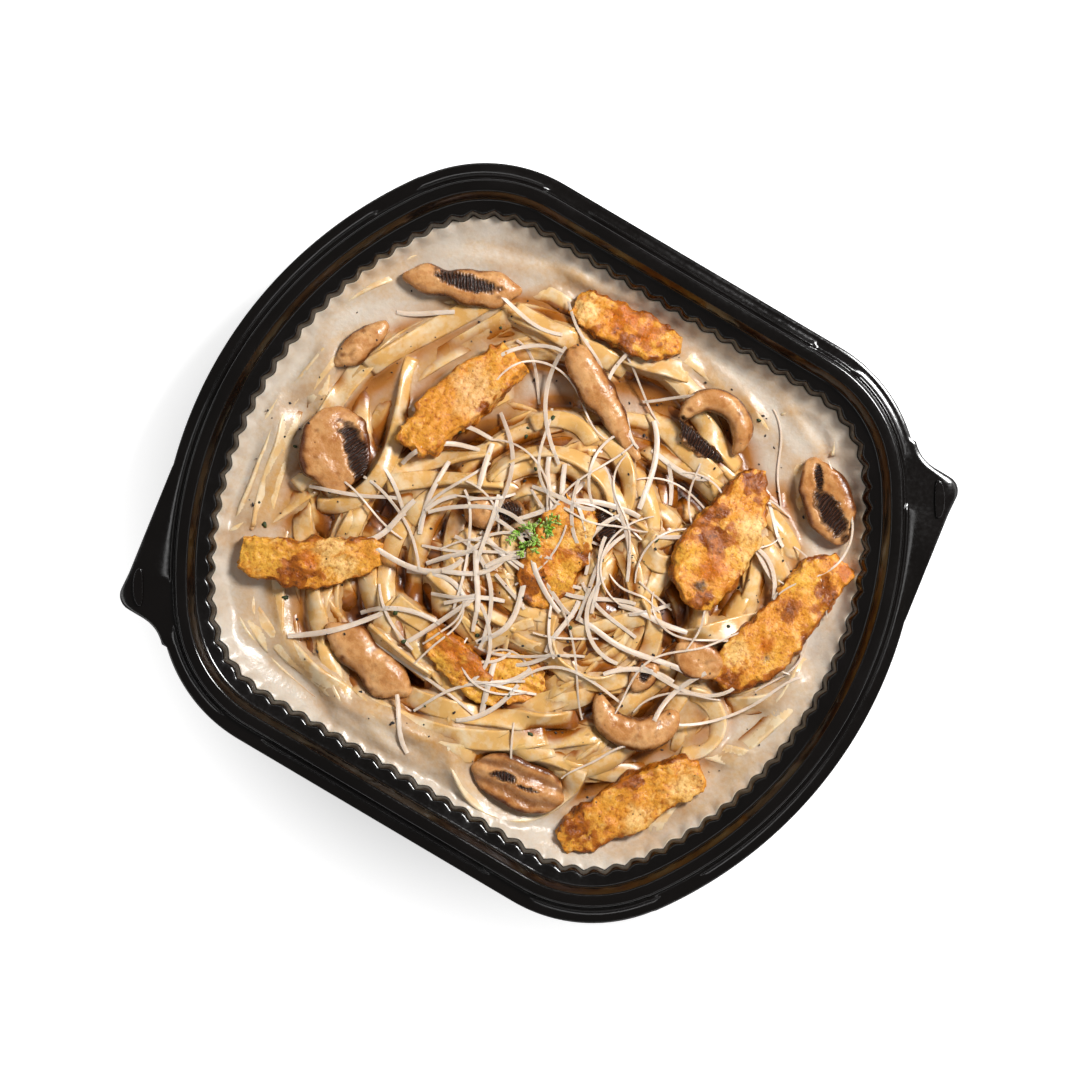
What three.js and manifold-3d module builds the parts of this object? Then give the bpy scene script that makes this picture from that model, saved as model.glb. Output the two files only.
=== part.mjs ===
import * as THREE from 'three';
import { mergeVertices } from 'three/addons/utils/BufferGeometryUtils.js';
import Module from 'manifold-3d';

const wasm = await Module();
wasm.setup();

// Fettuccine alfredo in its black takeaway tray. Millimetres, origin on the table under the
// middle of the tray, +X along its length, +Z up.

// Tray outline, measured at the outer edge of the flange.
const HALF_LENGTH = 117.2;
const HALF_WIDTH = 101.7;
const END_RADIUS = 138.6;
const CORNER_RADIUS = 49.8;
const CORNER_X = 50.4;
const CORNER_Y = HALF_WIDTH - CORNER_RADIUS;

// Tray section: each corner is [distance in from the outer edge of the flange, height].
const RIM_TOP = 42;
const FLANGE_TOP = 39.6;
const FLANGE_UNDER = 38.7;
const SHELF_INNER = { inset: 15.2, z: 36.5 };
const OUTSIDE_SECTION = [
  [25.0, 0],
  [22.6, 1.3],
  [21.9, 3.2],
  [13.3, 35.3],
  [10.2, 36.0],
  [8.1, 40.8],
  [6.3, 40.8],
  [5.6, FLANGE_UNDER],
  [0.4, FLANGE_UNDER],
  [0, 39.1],
];
const RIM_SECTION = [
  [0, FLANGE_TOP],
  [3.3, FLANGE_TOP],
  [3.7, 40.2],
  [4.6, 40.2],
  [5.2, RIM_TOP],
  [9.0, RIM_TOP],
  [11.5, 37.2],
  [SHELF_INNER.inset, SHELF_INNER.z],
];
const FLOOR_TOP = 1.2;
const FLOOR_INSET = 27.5;
const WALL_FOOT = 4.6;
const WALL_DRAFT = 0.257;
const FLUTE_COUNT = 96;
const FLUTE_HEIGHT = 0.7;
const FLUTE_REFERENCE = 16;
const BEND_STEP = 0.105;

// Carry tabs on two opposite corners of the flange.
const TAB_START = [-112.1, -37.8];
const TAB_SHOULDER = [-106.7, -73.9];
const TAB_TIP = { x: -101.2, y: -79.0, radius: 5.1 };
const TAB_END = [-94.5, -84.1];
const TAB_ROOT = [-86.0, -88.5];
const TAB_OVERLAP = 3.4;
const PAD = { x: -102.3, y: -74.4, length: 14, width: 5.3, heading: -81.5, height: 0.7 };

// Contents.
const GAP = 0.3;
const WALL_GAP = 0.38;
const SAUCE_LEVEL = 28.8;
const HEAP_EDGE_LEVEL = 28.9;
const HEAP_CROWN = 2.7;
const HEAP_COLUMNS = 48;
const HEAP_REFERENCE = 20;
// Side of the heap from its foot to its shoulder: [share of the outline, height].
const HEAP_SIDE = [[0.8, FLOOR_TOP + GAP], [0.87, 4.5], [0.93, 26.8]];
const HEAP_SHOULDERS = [0.9, 0.72, 0.5, 0.26];
const HEAP_FOOT_CLEARANCE = 1;
// Heap as seen by the loose pieces: half length and half width of the mound.
const MOUND_REACH = [92, 76];

// Sections of the loose pieces.
const AROUND = 10;
const ALONG = [0, 0.08, 0.25, 0.5, 0.75, 0.92, 1];
const END_ROUNDING = [0.74, 0.94, 1, 1, 1, 0.94, 0.7];
const ROUND_SECTION = 1;
const SQUARED_SECTION = 0.55;

// Chicken strips: middle, heading, length, widths and sideways bow from one end to the other.
const CHICKEN = [
  { name: 'chicken_plate', x: 15.6, y: -41.4, heading: 5.8, length: 19, widths: [12, 16.5, 17.5, 14, 9],
    bows: [0, -1, 0, 1, 2], thick: 6, lift: -1.2, tilt: 4, roll: -5 },
  { name: 'chicken_strip', x: 0.2, y: -46.4, heading: -11.9, length: 31, widths: [7, 10.5, 11, 10, 7],
    bows: [0, 0.6, 0, -0.6, 0], thick: 8, lift: 0.5, tilt: 5, roll: 8 },
  { name: 'chicken_top', x: -10.9, y: 73.2, heading: 9.2, length: 37, widths: [9, 12.5, 14, 11.5, 4],
    bows: [1.2, 0.4, 0, -0.4, 0], thick: 8.5, lift: 0.2, tilt: -3, roll: -6 },
  { name: 'chicken_upper_left', x: -44.3, y: 26.6, heading: 72.2, length: 46,
    widths: [11, 15.5, 16, 15, 12], bows: [0, 0.8, 0.4, -0.4, -0.8], thick: 9, lift: 0.2, tilt: 4, roll: -8 },
  { name: 'chicken_left', x: -59.9, y: -41.6, heading: 26.2, length: 45, widths: [13.5, 14.5, 16, 13, 9],
    bows: [0, -0.6, -1.2, 0.8, 3.2], thick: 8.5, lift: 0.2, tilt: 0, roll: 4 },
  { name: 'chicken_centre', x: 6.5, y: 0.4, heading: 95.1, length: 36, widths: [11, 17.5, 19, 16.5, 11],
    bows: [-1, -0.5, 0, 0.4, 0], thick: 9, lift: 0, tilt: -4, roll: 5 },
  { name: 'chicken_right_centre', x: 52.0, y: 32.4, heading: 97.9, length: 49,
    widths: [11, 23, 24, 15.5, 7], bows: [2, 5, 2, 1, 0.5], thick: 8.5, lift: 0.6, tilt: 3, roll: 7 },
  { name: 'chicken_right', x: 79.6, y: 17.3, heading: 71.3, length: 55.5,
    widths: [11, 18, 17.5, 17.5, 11], bows: [-1, -2.6, -0.8, 2, 1.4],
    thick: 8.5, lift: -0.2, tilt: 0, roll: -4 },
  { name: 'chicken_bottom', x: 68.0, y: -56.8, heading: 53.4, length: 51,
    widths: [11, 14.5, 16.5, 15, 11], bows: [-2, -0.4, 0.4, 2, 1],
    thick: 8.5, lift: -0.3, tilt: 0, roll: 5 },
];

// Mushroom pieces, lowest first where two lie against each other.
const MUSHROOMS = [
  { name: 'mushroom_dark_slice', x: 15.6, y: 16.0, heading: -53.7, length: 15, widths: [4, 7, 7, 4],
    thick: 7, lift: -0.6 },
  { name: 'mushroom_crumb', x: 50.6, y: -19.0, heading: 80.8, length: 13, widths: [5, 8, 8, 5],
    thick: 6.5, lift: -0.2, round: true },
  { name: 'mushroom_chunk', x: 62.6, y: -6.0, heading: 6.3, length: 16.5, widths: [8, 12, 12, 9],
    thick: 7.5, lift: 0 },
  { name: 'mushroom_top', x: -63.6, y: 58.4, heading: 21.2, length: 38.6,
    widths: [6, 10.5, 7, 12, 12, 6], bows: [0, 0, -0.4, -0.8, 0, 0.8],
    thick: 7.5, lift: -0.2, round: true },
  { name: 'mushroom_small', x: -80.9, y: 25.7, heading: 69.7, length: 21.5, widths: [5, 9.5, 9.5, 6],
    thick: 7, lift: -0.3, round: true },
  { name: 'mushroom_left', x: -71.5, y: -7.2, heading: -55, length: 27.7,
    widths: [13, 21.5, 23.6, 21.5, 12], thick: 7, lift: 0.2, roll: -8 },
  { name: 'mushroom_stem', x: -4.8, y: 49.0, heading: -28.4, length: 42.5,
    widths: [11, 12.4, 10.4, 8.4, 6, 4.5], thick: 9, taper: [1, 1, 0.9, 0.76, 0.56, 0.44], lift: 1.0,
    round: true },
  { name: 'mushroom_cap', x: 29.1, y: 58.4, arc: 10, start: 192.6, sweep: -206,
    widths: [5, 7.5, 8, 7.5, 5], thick: 8, lift: 0.3, round: true },
  { name: 'mushroom_right', x: 72.4, y: 58.3, heading: -39, length: 29, widths: [9, 15.5, 16, 10],
    thick: 8, lift: -0.2, roll: 6 },
  { name: 'mushroom_centre', x: -17.6, y: 1.3, heading: 33.4, length: 20, widths: [9, 12.5, 10.5, 7],
    thick: 8.5, lift: 0.2, round: true },
  { name: 'mushroom_lower_left', x: -28.0, y: -59.9, heading: -7.4, length: 35,
    widths: [8, 14, 11.5, 14.5, 9], bows: [0.8, 1, 0, -1.2, -0.6], thick: 8, lift: -0.2, round: true },
  { name: 'mushroom_crescent', x: 52.1, y: -25.7, arc: 12.4, start: 208.5, sweep: 160,
    widths: [6, 9.5, 10.5, 11, 8], thick: 8.5, lift: 0.4, round: true },
  { name: 'mushroom_bottom', x: 33.3, y: -69.4, heading: 9.3, length: 30.4, widths: [12, 15, 15.5, 11],
    thick: 8, lift: -0.6 },
];

// Gills under the cap lying on its side, as a bar across the mouth of its curve.
const CAP_GILLS = {
  x: 27.4, y: 53.6, heading: -13, length: 22, widths: [4, 5.5, 5.5, 4], thick: 5.5, lift: -0.6,
};

const PLASTIC_BLACK = new THREE.Color(0x12100f);
const SAUCE_CREAM = new THREE.Color(0xddc9b4);
const PASTA_CREAM = new THREE.Color(0xecc99c);
const CHICKEN_GOLD = new THREE.Color(0xc4761f);
const MUSHROOM_TAN = new THREE.Color(0xb07a4c);

// A point of the outline at the flute line, with its outward normal.
function station(part, along) {
  const share = part.length > 0 ? along / part.length : 0;
  const angle = part.from + (part.to - part.from) * share;
  const slide = part.from === part.to ? along : 0;
  const nx = Math.cos(angle);
  const ny = Math.sin(angle);
  return { x: part.x + part.radius * nx - slide * ny, y: part.y + part.radius * ny + slide * nx, nx, ny };
}

// The outline as arcs and flats, anticlockwise from the -Y end of the +X side.
function outlineParts() {
  const endCentre = HALF_LENGTH - END_RADIUS;
  const turn = Math.atan2(CORNER_Y, CORNER_X - endCentre);
  const corner = CORNER_RADIUS - FLUTE_REFERENCE;
  const end = END_RADIUS - FLUTE_REFERENCE;
  const arc = (x, y, radius, from, to) => ({ x, y, radius, from, to, length: radius * (to - from) });
  const flat = (x, y, angle) => ({ x, y, radius: corner, from: angle, to: angle, length: 2 * CORNER_X });
  return [
    arc(endCentre, 0, end, -turn, turn),
    arc(CORNER_X, CORNER_Y, corner, turn, Math.PI / 2),
    flat(CORNER_X, CORNER_Y, Math.PI / 2),
    arc(-CORNER_X, CORNER_Y, corner, Math.PI / 2, Math.PI - turn),
    arc(-endCentre, 0, end, Math.PI - turn, Math.PI + turn),
    arc(-CORNER_X, -CORNER_Y, corner, Math.PI + turn, 1.5 * Math.PI),
    flat(-CORNER_X, -CORNER_Y, 1.5 * Math.PI),
    arc(CORNER_X, -CORNER_Y, corner, 1.5 * Math.PI, 2 * Math.PI - turn),
  ];
}

const OUTLINE = outlineParts();

// Stations spread evenly round the outline.
function evenStations(count) {
  const total = OUTLINE.reduce((sum, part) => sum + part.length, 0);
  const stations = [];
  for (let i = 0; i < count; i += 1) {
    let left = (total * i) / count;
    let index = 0;
    while (left > OUTLINE[index].length) {
      left -= OUTLINE[index].length;
      index += 1;
    }
    stations.push(station(OUTLINE[index], left));
  }
  return stations;
}

// Stations where the outline bends: every few degrees of a curve, and only the ends of a flat.
function bendStations(step) {
  const stations = [];
  OUTLINE.forEach((part) => {
    const count = Math.max(1, Math.round((part.to - part.from) / step));
    for (let i = 0; i < count; i += 1) {
      stations.push(station(part, (part.length * i) / count));
    }
  });
  return stations;
}

// Point of a station at an inset from the flange's outer edge.
function insetPoint(at, inset) {
  const out = FLUTE_REFERENCE - inset;
  return [at.x + at.nx * out, at.y + at.ny * out];
}

// Closes a geometry into a solid that can be joined and cut.
function solid(geometry) {
  const bare = geometry.clone();
  bare.deleteAttribute('normal');
  bare.deleteAttribute('uv');
  const merged = mergeVertices(bare, 1e-4);
  const index = merged.index.array;
  const triangles = [];
  for (let i = 0; i < index.length; i += 3) {
    const [a, b, c] = [index[i], index[i + 1], index[i + 2]];
    if (a !== b && b !== c && c !== a) {
      triangles.push(a, b, c);
    }
  }
  return new wasm.Manifold(new wasm.Mesh({
    numProp: 3,
    vertProperties: Float32Array.from(merged.attributes.position.array),
    triVerts: Uint32Array.from(triangles),
  }));
}

// The largest single body of a cut solid.
function mainBody(cut) {
  return cut.decompose().reduce((best, body) => (body.volume() > best.volume() ? body : best));
}

function mesh(name, body, colour, roughness) {
  const shape = body.getMesh();
  const points = new Float32Array(shape.numVert * 3);
  for (let i = 0; i < shape.numVert; i += 1) {
    for (let k = 0; k < 3; k += 1) {
      points[i * 3 + k] = shape.vertProperties[i * shape.numProp + k];
    }
  }
  const geometry = new THREE.BufferGeometry();
  geometry.setAttribute('position', new THREE.BufferAttribute(points, 3));
  geometry.setIndex(new THREE.BufferAttribute(Uint32Array.from(shape.triVerts), 1));
  geometry.computeVertexNormals();
  const material = new THREE.MeshStandardMaterial({ color: colour, roughness, metalness: 0 });
  const result = new THREE.Mesh(geometry, material);
  result.name = name;
  return result;
}

// Skins rows of points over stations; a row is { z } on the middle line or { point(station, i), z }.
function loft(stations, rows) {
  const profile = rows.map((row, j) => new THREE.Vector2(row.point ? 1 : 0, j));
  const geometry = new THREE.LatheGeometry(profile, stations.length);
  const position = geometry.attributes.position;
  for (let i = 0; i <= stations.length; i += 1) {
    const column = i % stations.length;
    rows.forEach((row, j) => {
      const [x, y, z] = row.point ? row.point(stations[column], column) : [0, 0, row.z];
      position.setXYZ(i * rows.length + j, x, y, z === undefined ? row.z : z);
    });
  }
  return solid(geometry);
}

function ring(inset, z) {
  return { point: (at) => insetPoint(at, inset), z };
}

// Ring that runs in and out with the flutes of the wall.
function flutedRing(inset, z, height) {
  return { point: (at, i) => insetPoint(at, inset + (i % 2 === 0 ? height : -height)), z };
}

function wallInset(z) {
  return SHELF_INNER.inset + (SHELF_INNER.z - z) * WALL_DRAFT;
}

// Outline of one carry tab, reaching in under the flange's own edge.
function tabShape() {
  const shape = new THREE.Shape();
  const inner = evenStations(180)
    .filter((at) => at.x < -70 && at.y < -38 && at.y > -80)
    .map((at) => insetPoint(at, TAB_OVERLAP))
    .filter(([x, y]) => y < TAB_START[1] && x < TAB_ROOT[0]);
  shape.moveTo(...TAB_START);
  shape.lineTo(...TAB_SHOULDER);
  shape.absarc(TAB_TIP.x, TAB_TIP.y, TAB_TIP.radius, 1.05 * Math.PI, 1.5 * Math.PI, false);
  shape.lineTo(...TAB_END);
  shape.quadraticCurveTo(-89.5, -84.6, ...TAB_ROOT);
  inner.reverse().forEach(([x, y]) => shape.lineTo(x, y));
  return shape;
}

function extruded(shape, low, high, segments) {
  const depth = high - low;
  const geometry = new THREE.ExtrudeGeometry(shape, { depth, bevelEnabled: false, curveSegments: segments });
  return geometry.translate(0, 0, low);
}

// Raised pad pressed into a tab: straight on the side facing the tray, bowed on the outer side.
function padGeometry() {
  const shape = new THREE.Shape();
  const half = PAD.length / 2;
  shape.moveTo(-half, PAD.width * 0.35);
  shape.bezierCurveTo(-half, -PAD.width * 0.75, half, -PAD.width * 0.75, half, PAD.width * 0.35);
  shape.bezierCurveTo(half, PAD.width * 0.5, -half, PAD.width * 0.5, -half, PAD.width * 0.35);
  const geometry = extruded(shape, FLANGE_TOP - 0.5, FLANGE_TOP + PAD.height, 8);
  geometry.rotateZ(THREE.MathUtils.degToRad(PAD.heading));
  geometry.translate(PAD.x, PAD.y, 0);
  return geometry;
}

function trayBody() {
  const shell = loft(bendStations(BEND_STEP), [
    { z: 0 },
    ...OUTSIDE_SECTION.map(([inset, z]) => ring(inset, z)),
    ...RIM_SECTION.map(([inset, z]) => ring(inset, z)),
    { z: SHELF_INNER.z },
  ]);
  const above = SHELF_INNER.z + 1;
  const cavity = loft(evenStations(2 * FLUTE_COUNT), [
    { z: FLOOR_TOP },
    ring(FLOOR_INSET, FLOOR_TOP),
    flutedRing(wallInset(WALL_FOOT), WALL_FOOT, FLUTE_HEIGHT),
    flutedRing(wallInset(above), above, FLUTE_HEIGHT),
    { z: above },
  ]);
  const tab = extruded(tabShape(), FLANGE_UNDER, FLANGE_TOP, 6);
  const pad = padGeometry();
  let body = shell.subtract(cavity);
  [0, Math.PI].forEach((turn) => {
    body = body.add(solid(tab.clone().rotateZ(turn)));
    body = body.add(solid(pad.clone().rotateZ(turn)));
  });
  return mainBody(body);
}

// Everything the sauce fills, up to its level, just clear of the tray.
function filling() {
  return loft(evenStations(2 * FLUTE_COUNT), [
    { z: FLOOR_TOP + GAP },
    ring(FLOOR_INSET + WALL_GAP, FLOOR_TOP + GAP),
    flutedRing(wallInset(WALL_FOOT) + WALL_GAP, WALL_FOOT + GAP / 2, FLUTE_HEIGHT),
    flutedRing(wallInset(SAUCE_LEVEL) + WALL_GAP, SAUCE_LEVEL, FLUTE_HEIGHT),
    { z: SAUCE_LEVEL },
  ]);
}

// Uneven edge of the noodle heap at a turn about the middle.
function heapEdge(turn) {
  const broad = 0.022 * Math.sin(5 * turn + 0.6);
  const fine = 0.018 * Math.sin(9 * turn + 2.1) + 0.012 * Math.sin(14 * turn);
  return 1 + broad + fine;
}

// Height of the heap's top at a share of the way out from the middle.
function heapTop(share, turn) {
  const waves = 0.55 * Math.sin(3 * turn + 0.8) + 0.4 * Math.sin(7 * turn + 6 * share);
  return HEAP_EDGE_LEVEL + HEAP_CROWN * (1 - share * share) + waves * share * (1.1 - share) * 2;
}

function heap(grow) {
  const foot = FLOOR_TOP + GAP - (grow > 0 ? HEAP_FOOT_CLEARANCE : 0);
  const row = (share, height) => ({
    point: (at) => {
      const [x, y] = insetPoint(at, HEAP_REFERENCE);
      const turn = Math.atan2(y, x);
      const scale = share * heapEdge(turn) + grow / Math.hypot(x, y);
      return [x * scale, y * scale, height(share, turn)];
    },
  });
  return loft(evenStations(HEAP_COLUMNS), [
    { z: foot },
    ...HEAP_SIDE.map(([share, z], i) => row(share, () => (i === 0 ? foot : z))),
    ...HEAP_SHOULDERS.map((share) => row(share, (at, turn) => heapTop(at, turn) + grow)),
    { z: heapTop(0, 0) + grow },
  ]);
}

// Value of a list of sizes spread evenly from one end to the other.
function spread(values, share) {
  const place = share * (values.length - 1);
  const low = Math.min(values.length - 2, Math.floor(place));
  const blend = (1 - Math.cos(Math.PI * (place - low))) / 2;
  return values[low] + (values[low + 1] - values[low]) * blend;
}

function surfaceLevel(x, y) {
  const share = Math.min(1, Math.hypot(x / MOUND_REACH[0], y / MOUND_REACH[1]));
  return HEAP_EDGE_LEVEL + HEAP_CROWN * (1 - share * share);
}

// A loose piece: a bar with a rounded or squared section, straight or curved along an arc.
function piece(p, grow = 0) {
  const exponent = p.round ? ROUND_SECTION : SQUARED_SECTION;
  const bows = p.bows || [0, 0];
  const taper = p.taper || [1, 1];
  const profile = [new THREE.Vector2(0, 0)];
  ALONG.forEach((share, j) => profile.push(new THREE.Vector2(1, j)));
  profile.push(new THREE.Vector2(0, ALONG.length));
  const geometry = new THREE.LatheGeometry(profile, AROUND);
  const position = geometry.attributes.position;
  const soften = (value) => Math.sign(value) * Math.abs(value) ** exponent;
  for (let i = 0; i <= AROUND; i += 1) {
    const angle = (2 * Math.PI * (i % AROUND)) / AROUND;
    profile.forEach((corner, j) => {
      const k = Math.min(Math.max(j - 1, 0), ALONG.length - 1);
      const share = ALONG[k];
      const close = corner.x === 0 ? 0 : END_ROUNDING[k];
      const across = close * (spread(p.widths, share) / 2 + grow);
      const up = close * ((p.thick * spread(taper, share)) / 2 + grow);
      const side = spread(bows, share) - across * soften(Math.sin(angle));
      const rise = up * soften(Math.cos(angle));
      if (p.arc) {
        const reach = Math.sign(p.sweep) * (2 * share - 1) * (grow / p.arc);
        const turn = THREE.MathUtils.degToRad(p.start + p.sweep * share) + reach;
        const out = p.arc - Math.sign(p.sweep) * side;
        position.setXYZ(i * profile.length + j, out * Math.cos(turn), out * Math.sin(turn), rise);
      } else {
        const along = (share - 0.5) * (p.length + 2 * grow);
        position.setXYZ(i * profile.length + j, along, side, rise);
      }
    });
  }
  geometry.rotateX(THREE.MathUtils.degToRad(p.roll || 0));
  geometry.rotateY(THREE.MathUtils.degToRad(p.tilt || 0));
  geometry.rotateZ(THREE.MathUtils.degToRad(p.heading || 0));
  geometry.translate(p.x, p.y, surfaceLevel(p.x, p.y) + (p.lift || 0));
  return solid(geometry);
}

function topping(p, grow) {
  const body = piece(p, grow);
  return p.name === 'mushroom_cap' ? body.add(piece(CAP_GILLS, grow)) : body;
}

const toppings = [...MUSHROOMS.slice(0, 3), ...CHICKEN, ...MUSHROOMS.slice(3)];
const grown = toppings.map((p) => topping(p, GAP));

const group = new THREE.Group();
group.name = 'fettuccine_alfredo';
group.add(mesh('tray', trayBody(), PLASTIC_BLACK, 0.28));

let noodles = heap(0);
let sauce = filling().subtract(heap(GAP));
grown.forEach((pocket) => {
  noodles = noodles.subtract(pocket);
  sauce = sauce.subtract(pocket);
});
group.add(mesh('cream_sauce', mainBody(sauce), SAUCE_CREAM, 0.32));
group.add(mesh('fettuccine', mainBody(noodles), PASTA_CREAM, 0.42));

toppings.forEach((p, i) => {
  const body = grown.slice(i + 1).reduce((rest, other) => rest.subtract(other), topping(p, 0));
  const [colour, roughness] = CHICKEN.includes(p) ? [CHICKEN_GOLD, 0.5] : [MUSHROOM_TAN, 0.42];
  group.add(mesh(p.name, mainBody(body), colour, roughness));
});

export default group;
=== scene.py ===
import math
import random

import bmesh
import bpy
import numpy as np
from mathutils import Matrix, Vector, noise


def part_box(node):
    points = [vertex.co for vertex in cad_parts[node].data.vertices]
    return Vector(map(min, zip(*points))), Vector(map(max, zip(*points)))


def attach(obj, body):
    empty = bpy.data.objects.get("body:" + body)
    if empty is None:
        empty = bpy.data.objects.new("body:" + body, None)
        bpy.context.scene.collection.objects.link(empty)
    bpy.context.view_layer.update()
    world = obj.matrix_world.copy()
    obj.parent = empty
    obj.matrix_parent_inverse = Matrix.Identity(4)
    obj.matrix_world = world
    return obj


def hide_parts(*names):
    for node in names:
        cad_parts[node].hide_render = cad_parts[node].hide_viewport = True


bl_info = {
    "name": "Fettuccine alfredo in a takeaway tray",
    "version": (1, 0, 0),
    "blender": (4, 5, 0),
    "location": "View3D > Sidebar > Alfredo",
    "description": "Tray, cream, ribbons, chicken, mushrooms and shaved cheese for the packed alfredo dish",
    "category": "Add Mesh",
}

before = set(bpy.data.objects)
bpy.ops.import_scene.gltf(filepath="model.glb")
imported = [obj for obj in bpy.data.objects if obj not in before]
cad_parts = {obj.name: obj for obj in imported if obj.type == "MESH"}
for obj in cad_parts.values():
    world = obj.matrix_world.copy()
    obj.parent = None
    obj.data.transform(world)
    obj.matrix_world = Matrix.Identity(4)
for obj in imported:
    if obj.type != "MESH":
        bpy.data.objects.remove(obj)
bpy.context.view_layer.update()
MM = 0.001

# Tray, millimetres. The outline is measured at the outer edge of the flange.
TRAY_LOW, TRAY_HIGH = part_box("tray")
HALF_LENGTH = (TRAY_HIGH[0] - TRAY_LOW[0]) / 2 / MM
HALF_WIDTH = (TRAY_HIGH[1] - TRAY_LOW[1]) / 2 / MM
RIM_TOP = TRAY_HIGH[2] / MM
SAUCE_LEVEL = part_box("cream_sauce")[1][2] / MM
END_RADIUS = 138.6
CORNER_RADIUS = 49.8
CORNER_X = 50.4
CORNER_Y = HALF_WIDTH - CORNER_RADIUS
FLUTE_LINE = 16.0
WALL_TOP_INSET = 15.2
WALL_TOP_Z = RIM_TOP - 5.5
WALL_DRAFT = 0.257
FLUTES = 96
COLUMNS_PER_FLUTE = 8
FLUTE_HEIGHT = 0.7
FLANGE_TOP = RIM_TOP - 2.4
PAD_HEIGHT = 1.7
PAD_SUNK = 0.6

# Lock ridge breaks: middle of each gap on one half of the rim, the other half is the same turned round.
RIDGE_GAPS = [(-51, -96), (89, 75), (93, -70), (-47, 98)]
RIDGE_GAP_HALF = 8.0

# Carry tab, one corner; the other is the same turned half round.
TAB_START = (-112.1, -37.8)
TAB_SHOULDER = (-106.7, -73.9)
TAB_TIP = (-101.2, -79.0, 5.1)
TAB_END = (-94.5, -84.1)
TAB_PULL = (-89.5, -84.6)
TAB_ROOT = (-86.0, -88.5)
TAB_REACH = 16
# Raised pad on the tab: x, y, heading, length, width.
TAB_PAD = (-101.2, -76.0, -59.4, 12.0, 4.8)

# Food.
CREAM_EDGE = SAUCE_LEVEL + 3.2
HEAP_REACH = (92.0, 76.0)
HEAP_EDGE = SAUCE_LEVEL + 0.1
HEAP_CROWN = 2.7
HEAP_MIDDLE = (5.0, -8.0)
BURIED_REACH = (94, 77)
PEPPER_REACH = (97, 80)
ROOM_CORE = 34.0
ROOM_REACH = (67.0, 52.0)
COURSE_STEP = 1.2
FOOD_TOP = RIM_TOP - 1.5
GILL_PITCH = 1.15
RELIEF_CELL = 0.5
RELIEF_HALF = (106.0, 92.0)

# Noodles on top, given in coarse steps. Runs side by side: how many, how far apart (left of the heading
# is plus), then the first one's start x, y, heading, length and bend per 10 mm at its start and its end.
COATED_RUNS = [
    (3, -6, -90, -45, 110, 40, -5, 0),
    (2, -10, -90, 0, 85, 35, 0, -5),
    (2, -7, -75, 20, 60, 50, 0, 0),
    (1, 0, -95, 35, 60, 30, -5, -10),
    (3, -10, -45, 80, 0, 40, 0, 0),
    (1, 0, -20, 65, -5, 35, 5, 5),
    (1, 0, -75, 70, 30, 45, -5, -5),
    (1, 0, 45, 75, -50, 45, 0, 0),
    (1, 0, 75, 70, -50, 40, -5, -10),
    (2, 7, 90, -40, 60, 50, 5, 10),
    (3, -6, -25, -65, 0, 65, 5, 5),
    (2, -8, -55, -70, -15, 40, 5, 0),
    (2, -7, -70, -65, -25, 15, 0, 10),
    (2, -6, 75, -10, 40, 15, 0, 0),
    (1, 0, 80, -30, 20, 15, 0, 0),
    (1, 0, 70, -80, 45, 15, 0, 0),
    (2, 12, 10, 55, -30, 30, 10, -5),
    (1, 0, 55, -5, 45, 30, 0, 0),
]
# The same for the noodles that lie open, with little cream on them.
OPEN_RUNS = [
    (2, -5, -55, -5, 45, 35, -5, 0),
    (2, -12, -30, -40, -10, 25, 5, 0),
    (1, 0, -25, -25, -20, 30, 10, 0),
    (1, 0, -5, -45, 50, 25, 10, -10),
    (1, 0, 30, 15, 50, 20, 5, 0),
    (1, 0, 25, -20, 45, 25, 0, 0),
    (1, 0, -65, 30, -75, 60, 10, -40),
]
# Noodles that lie open in a loop: middle x, y, radius, start angle, sweep.
LOOPS = [
    (55, 70, 12, 150, -145),
    (30, -60, 22, 205, 155),
    (70, -25, 9, 115, -200),
    (-70, -25, 6, 170, -140),
    (35, 20, 6, 160, 290),
    (30, -15, 16, 190, 250),
    (0, 22, 17, 100, -120),
    (-10, 25, 13, 150, -100),
    (-2, 4, 20, 165, -115),
    (0, 5, 25, 170, -130),
]

# Chicken: node, x, y, heading, length, widths, sideways bow, thickness, tilt, roll.
CHICKEN = [
    ("chicken_plate", 15.6, -41.4, 5.8, 19, (12, 16.5, 17.5, 14, 9), (0, -1, 0, 1, 2), 6, 4, -5),
    ("chicken_strip", 0.2, -46.4, -11.9, 31, (7, 10.5, 11, 10, 7), (0, 0.6, 0, -0.6, 0), 8, 5, 8),
    ("chicken_top", -10.9, 73.2, 9.2, 37, (9, 12.5, 14, 11.5, 4), (1.2, 0.4, 0, -0.4, 0), 8.5, -3, -6),
    ("chicken_upper_left", -44.3, 26.6, 72.2, 46, (11, 15.5, 16, 15, 12), (0, 0.8, 0.4, -0.4, -0.8),
     9, 4, -8),
    ("chicken_left", -59.9, -41.6, 26.2, 45, (13.5, 14.5, 16, 13, 9), (0, -0.6, -1.2, 0.8, 3.2), 8.5, 0, 4),
    ("chicken_centre", 6.5, 0.4, 95.1, 36, (11, 17.5, 19, 16.5, 11), (-1, -0.5, 0, 0.4, 0), 9, -4, 5),
    ("chicken_right_centre", 52.0, 32.4, 97.9, 49, (11, 23, 24, 15.5, 7), (2, 5, 2, 1, 0.5), 8.5, 3, 7),
    ("chicken_right", 79.6, 17.3, 71.3, 55.5, (11, 18, 17.5, 17.5, 11), (-1, -2.6, -0.8, 2, 1.4), 8.5, 0, -4),
    ("chicken_bottom", 68.0, -56.8, 53.4, 51, (11, 14.5, 16.5, 15, 11), (-2, -0.4, 0.4, 2, 1), 8.5, 0, 5),
]

# How browned each kind of patch is; the kinds not named here are bare of browning.
SEAR = {"seared": 0.9, "red": 0.42, "crust": 0.22, "yellow": 0.08, "crumb": 0.05}
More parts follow.
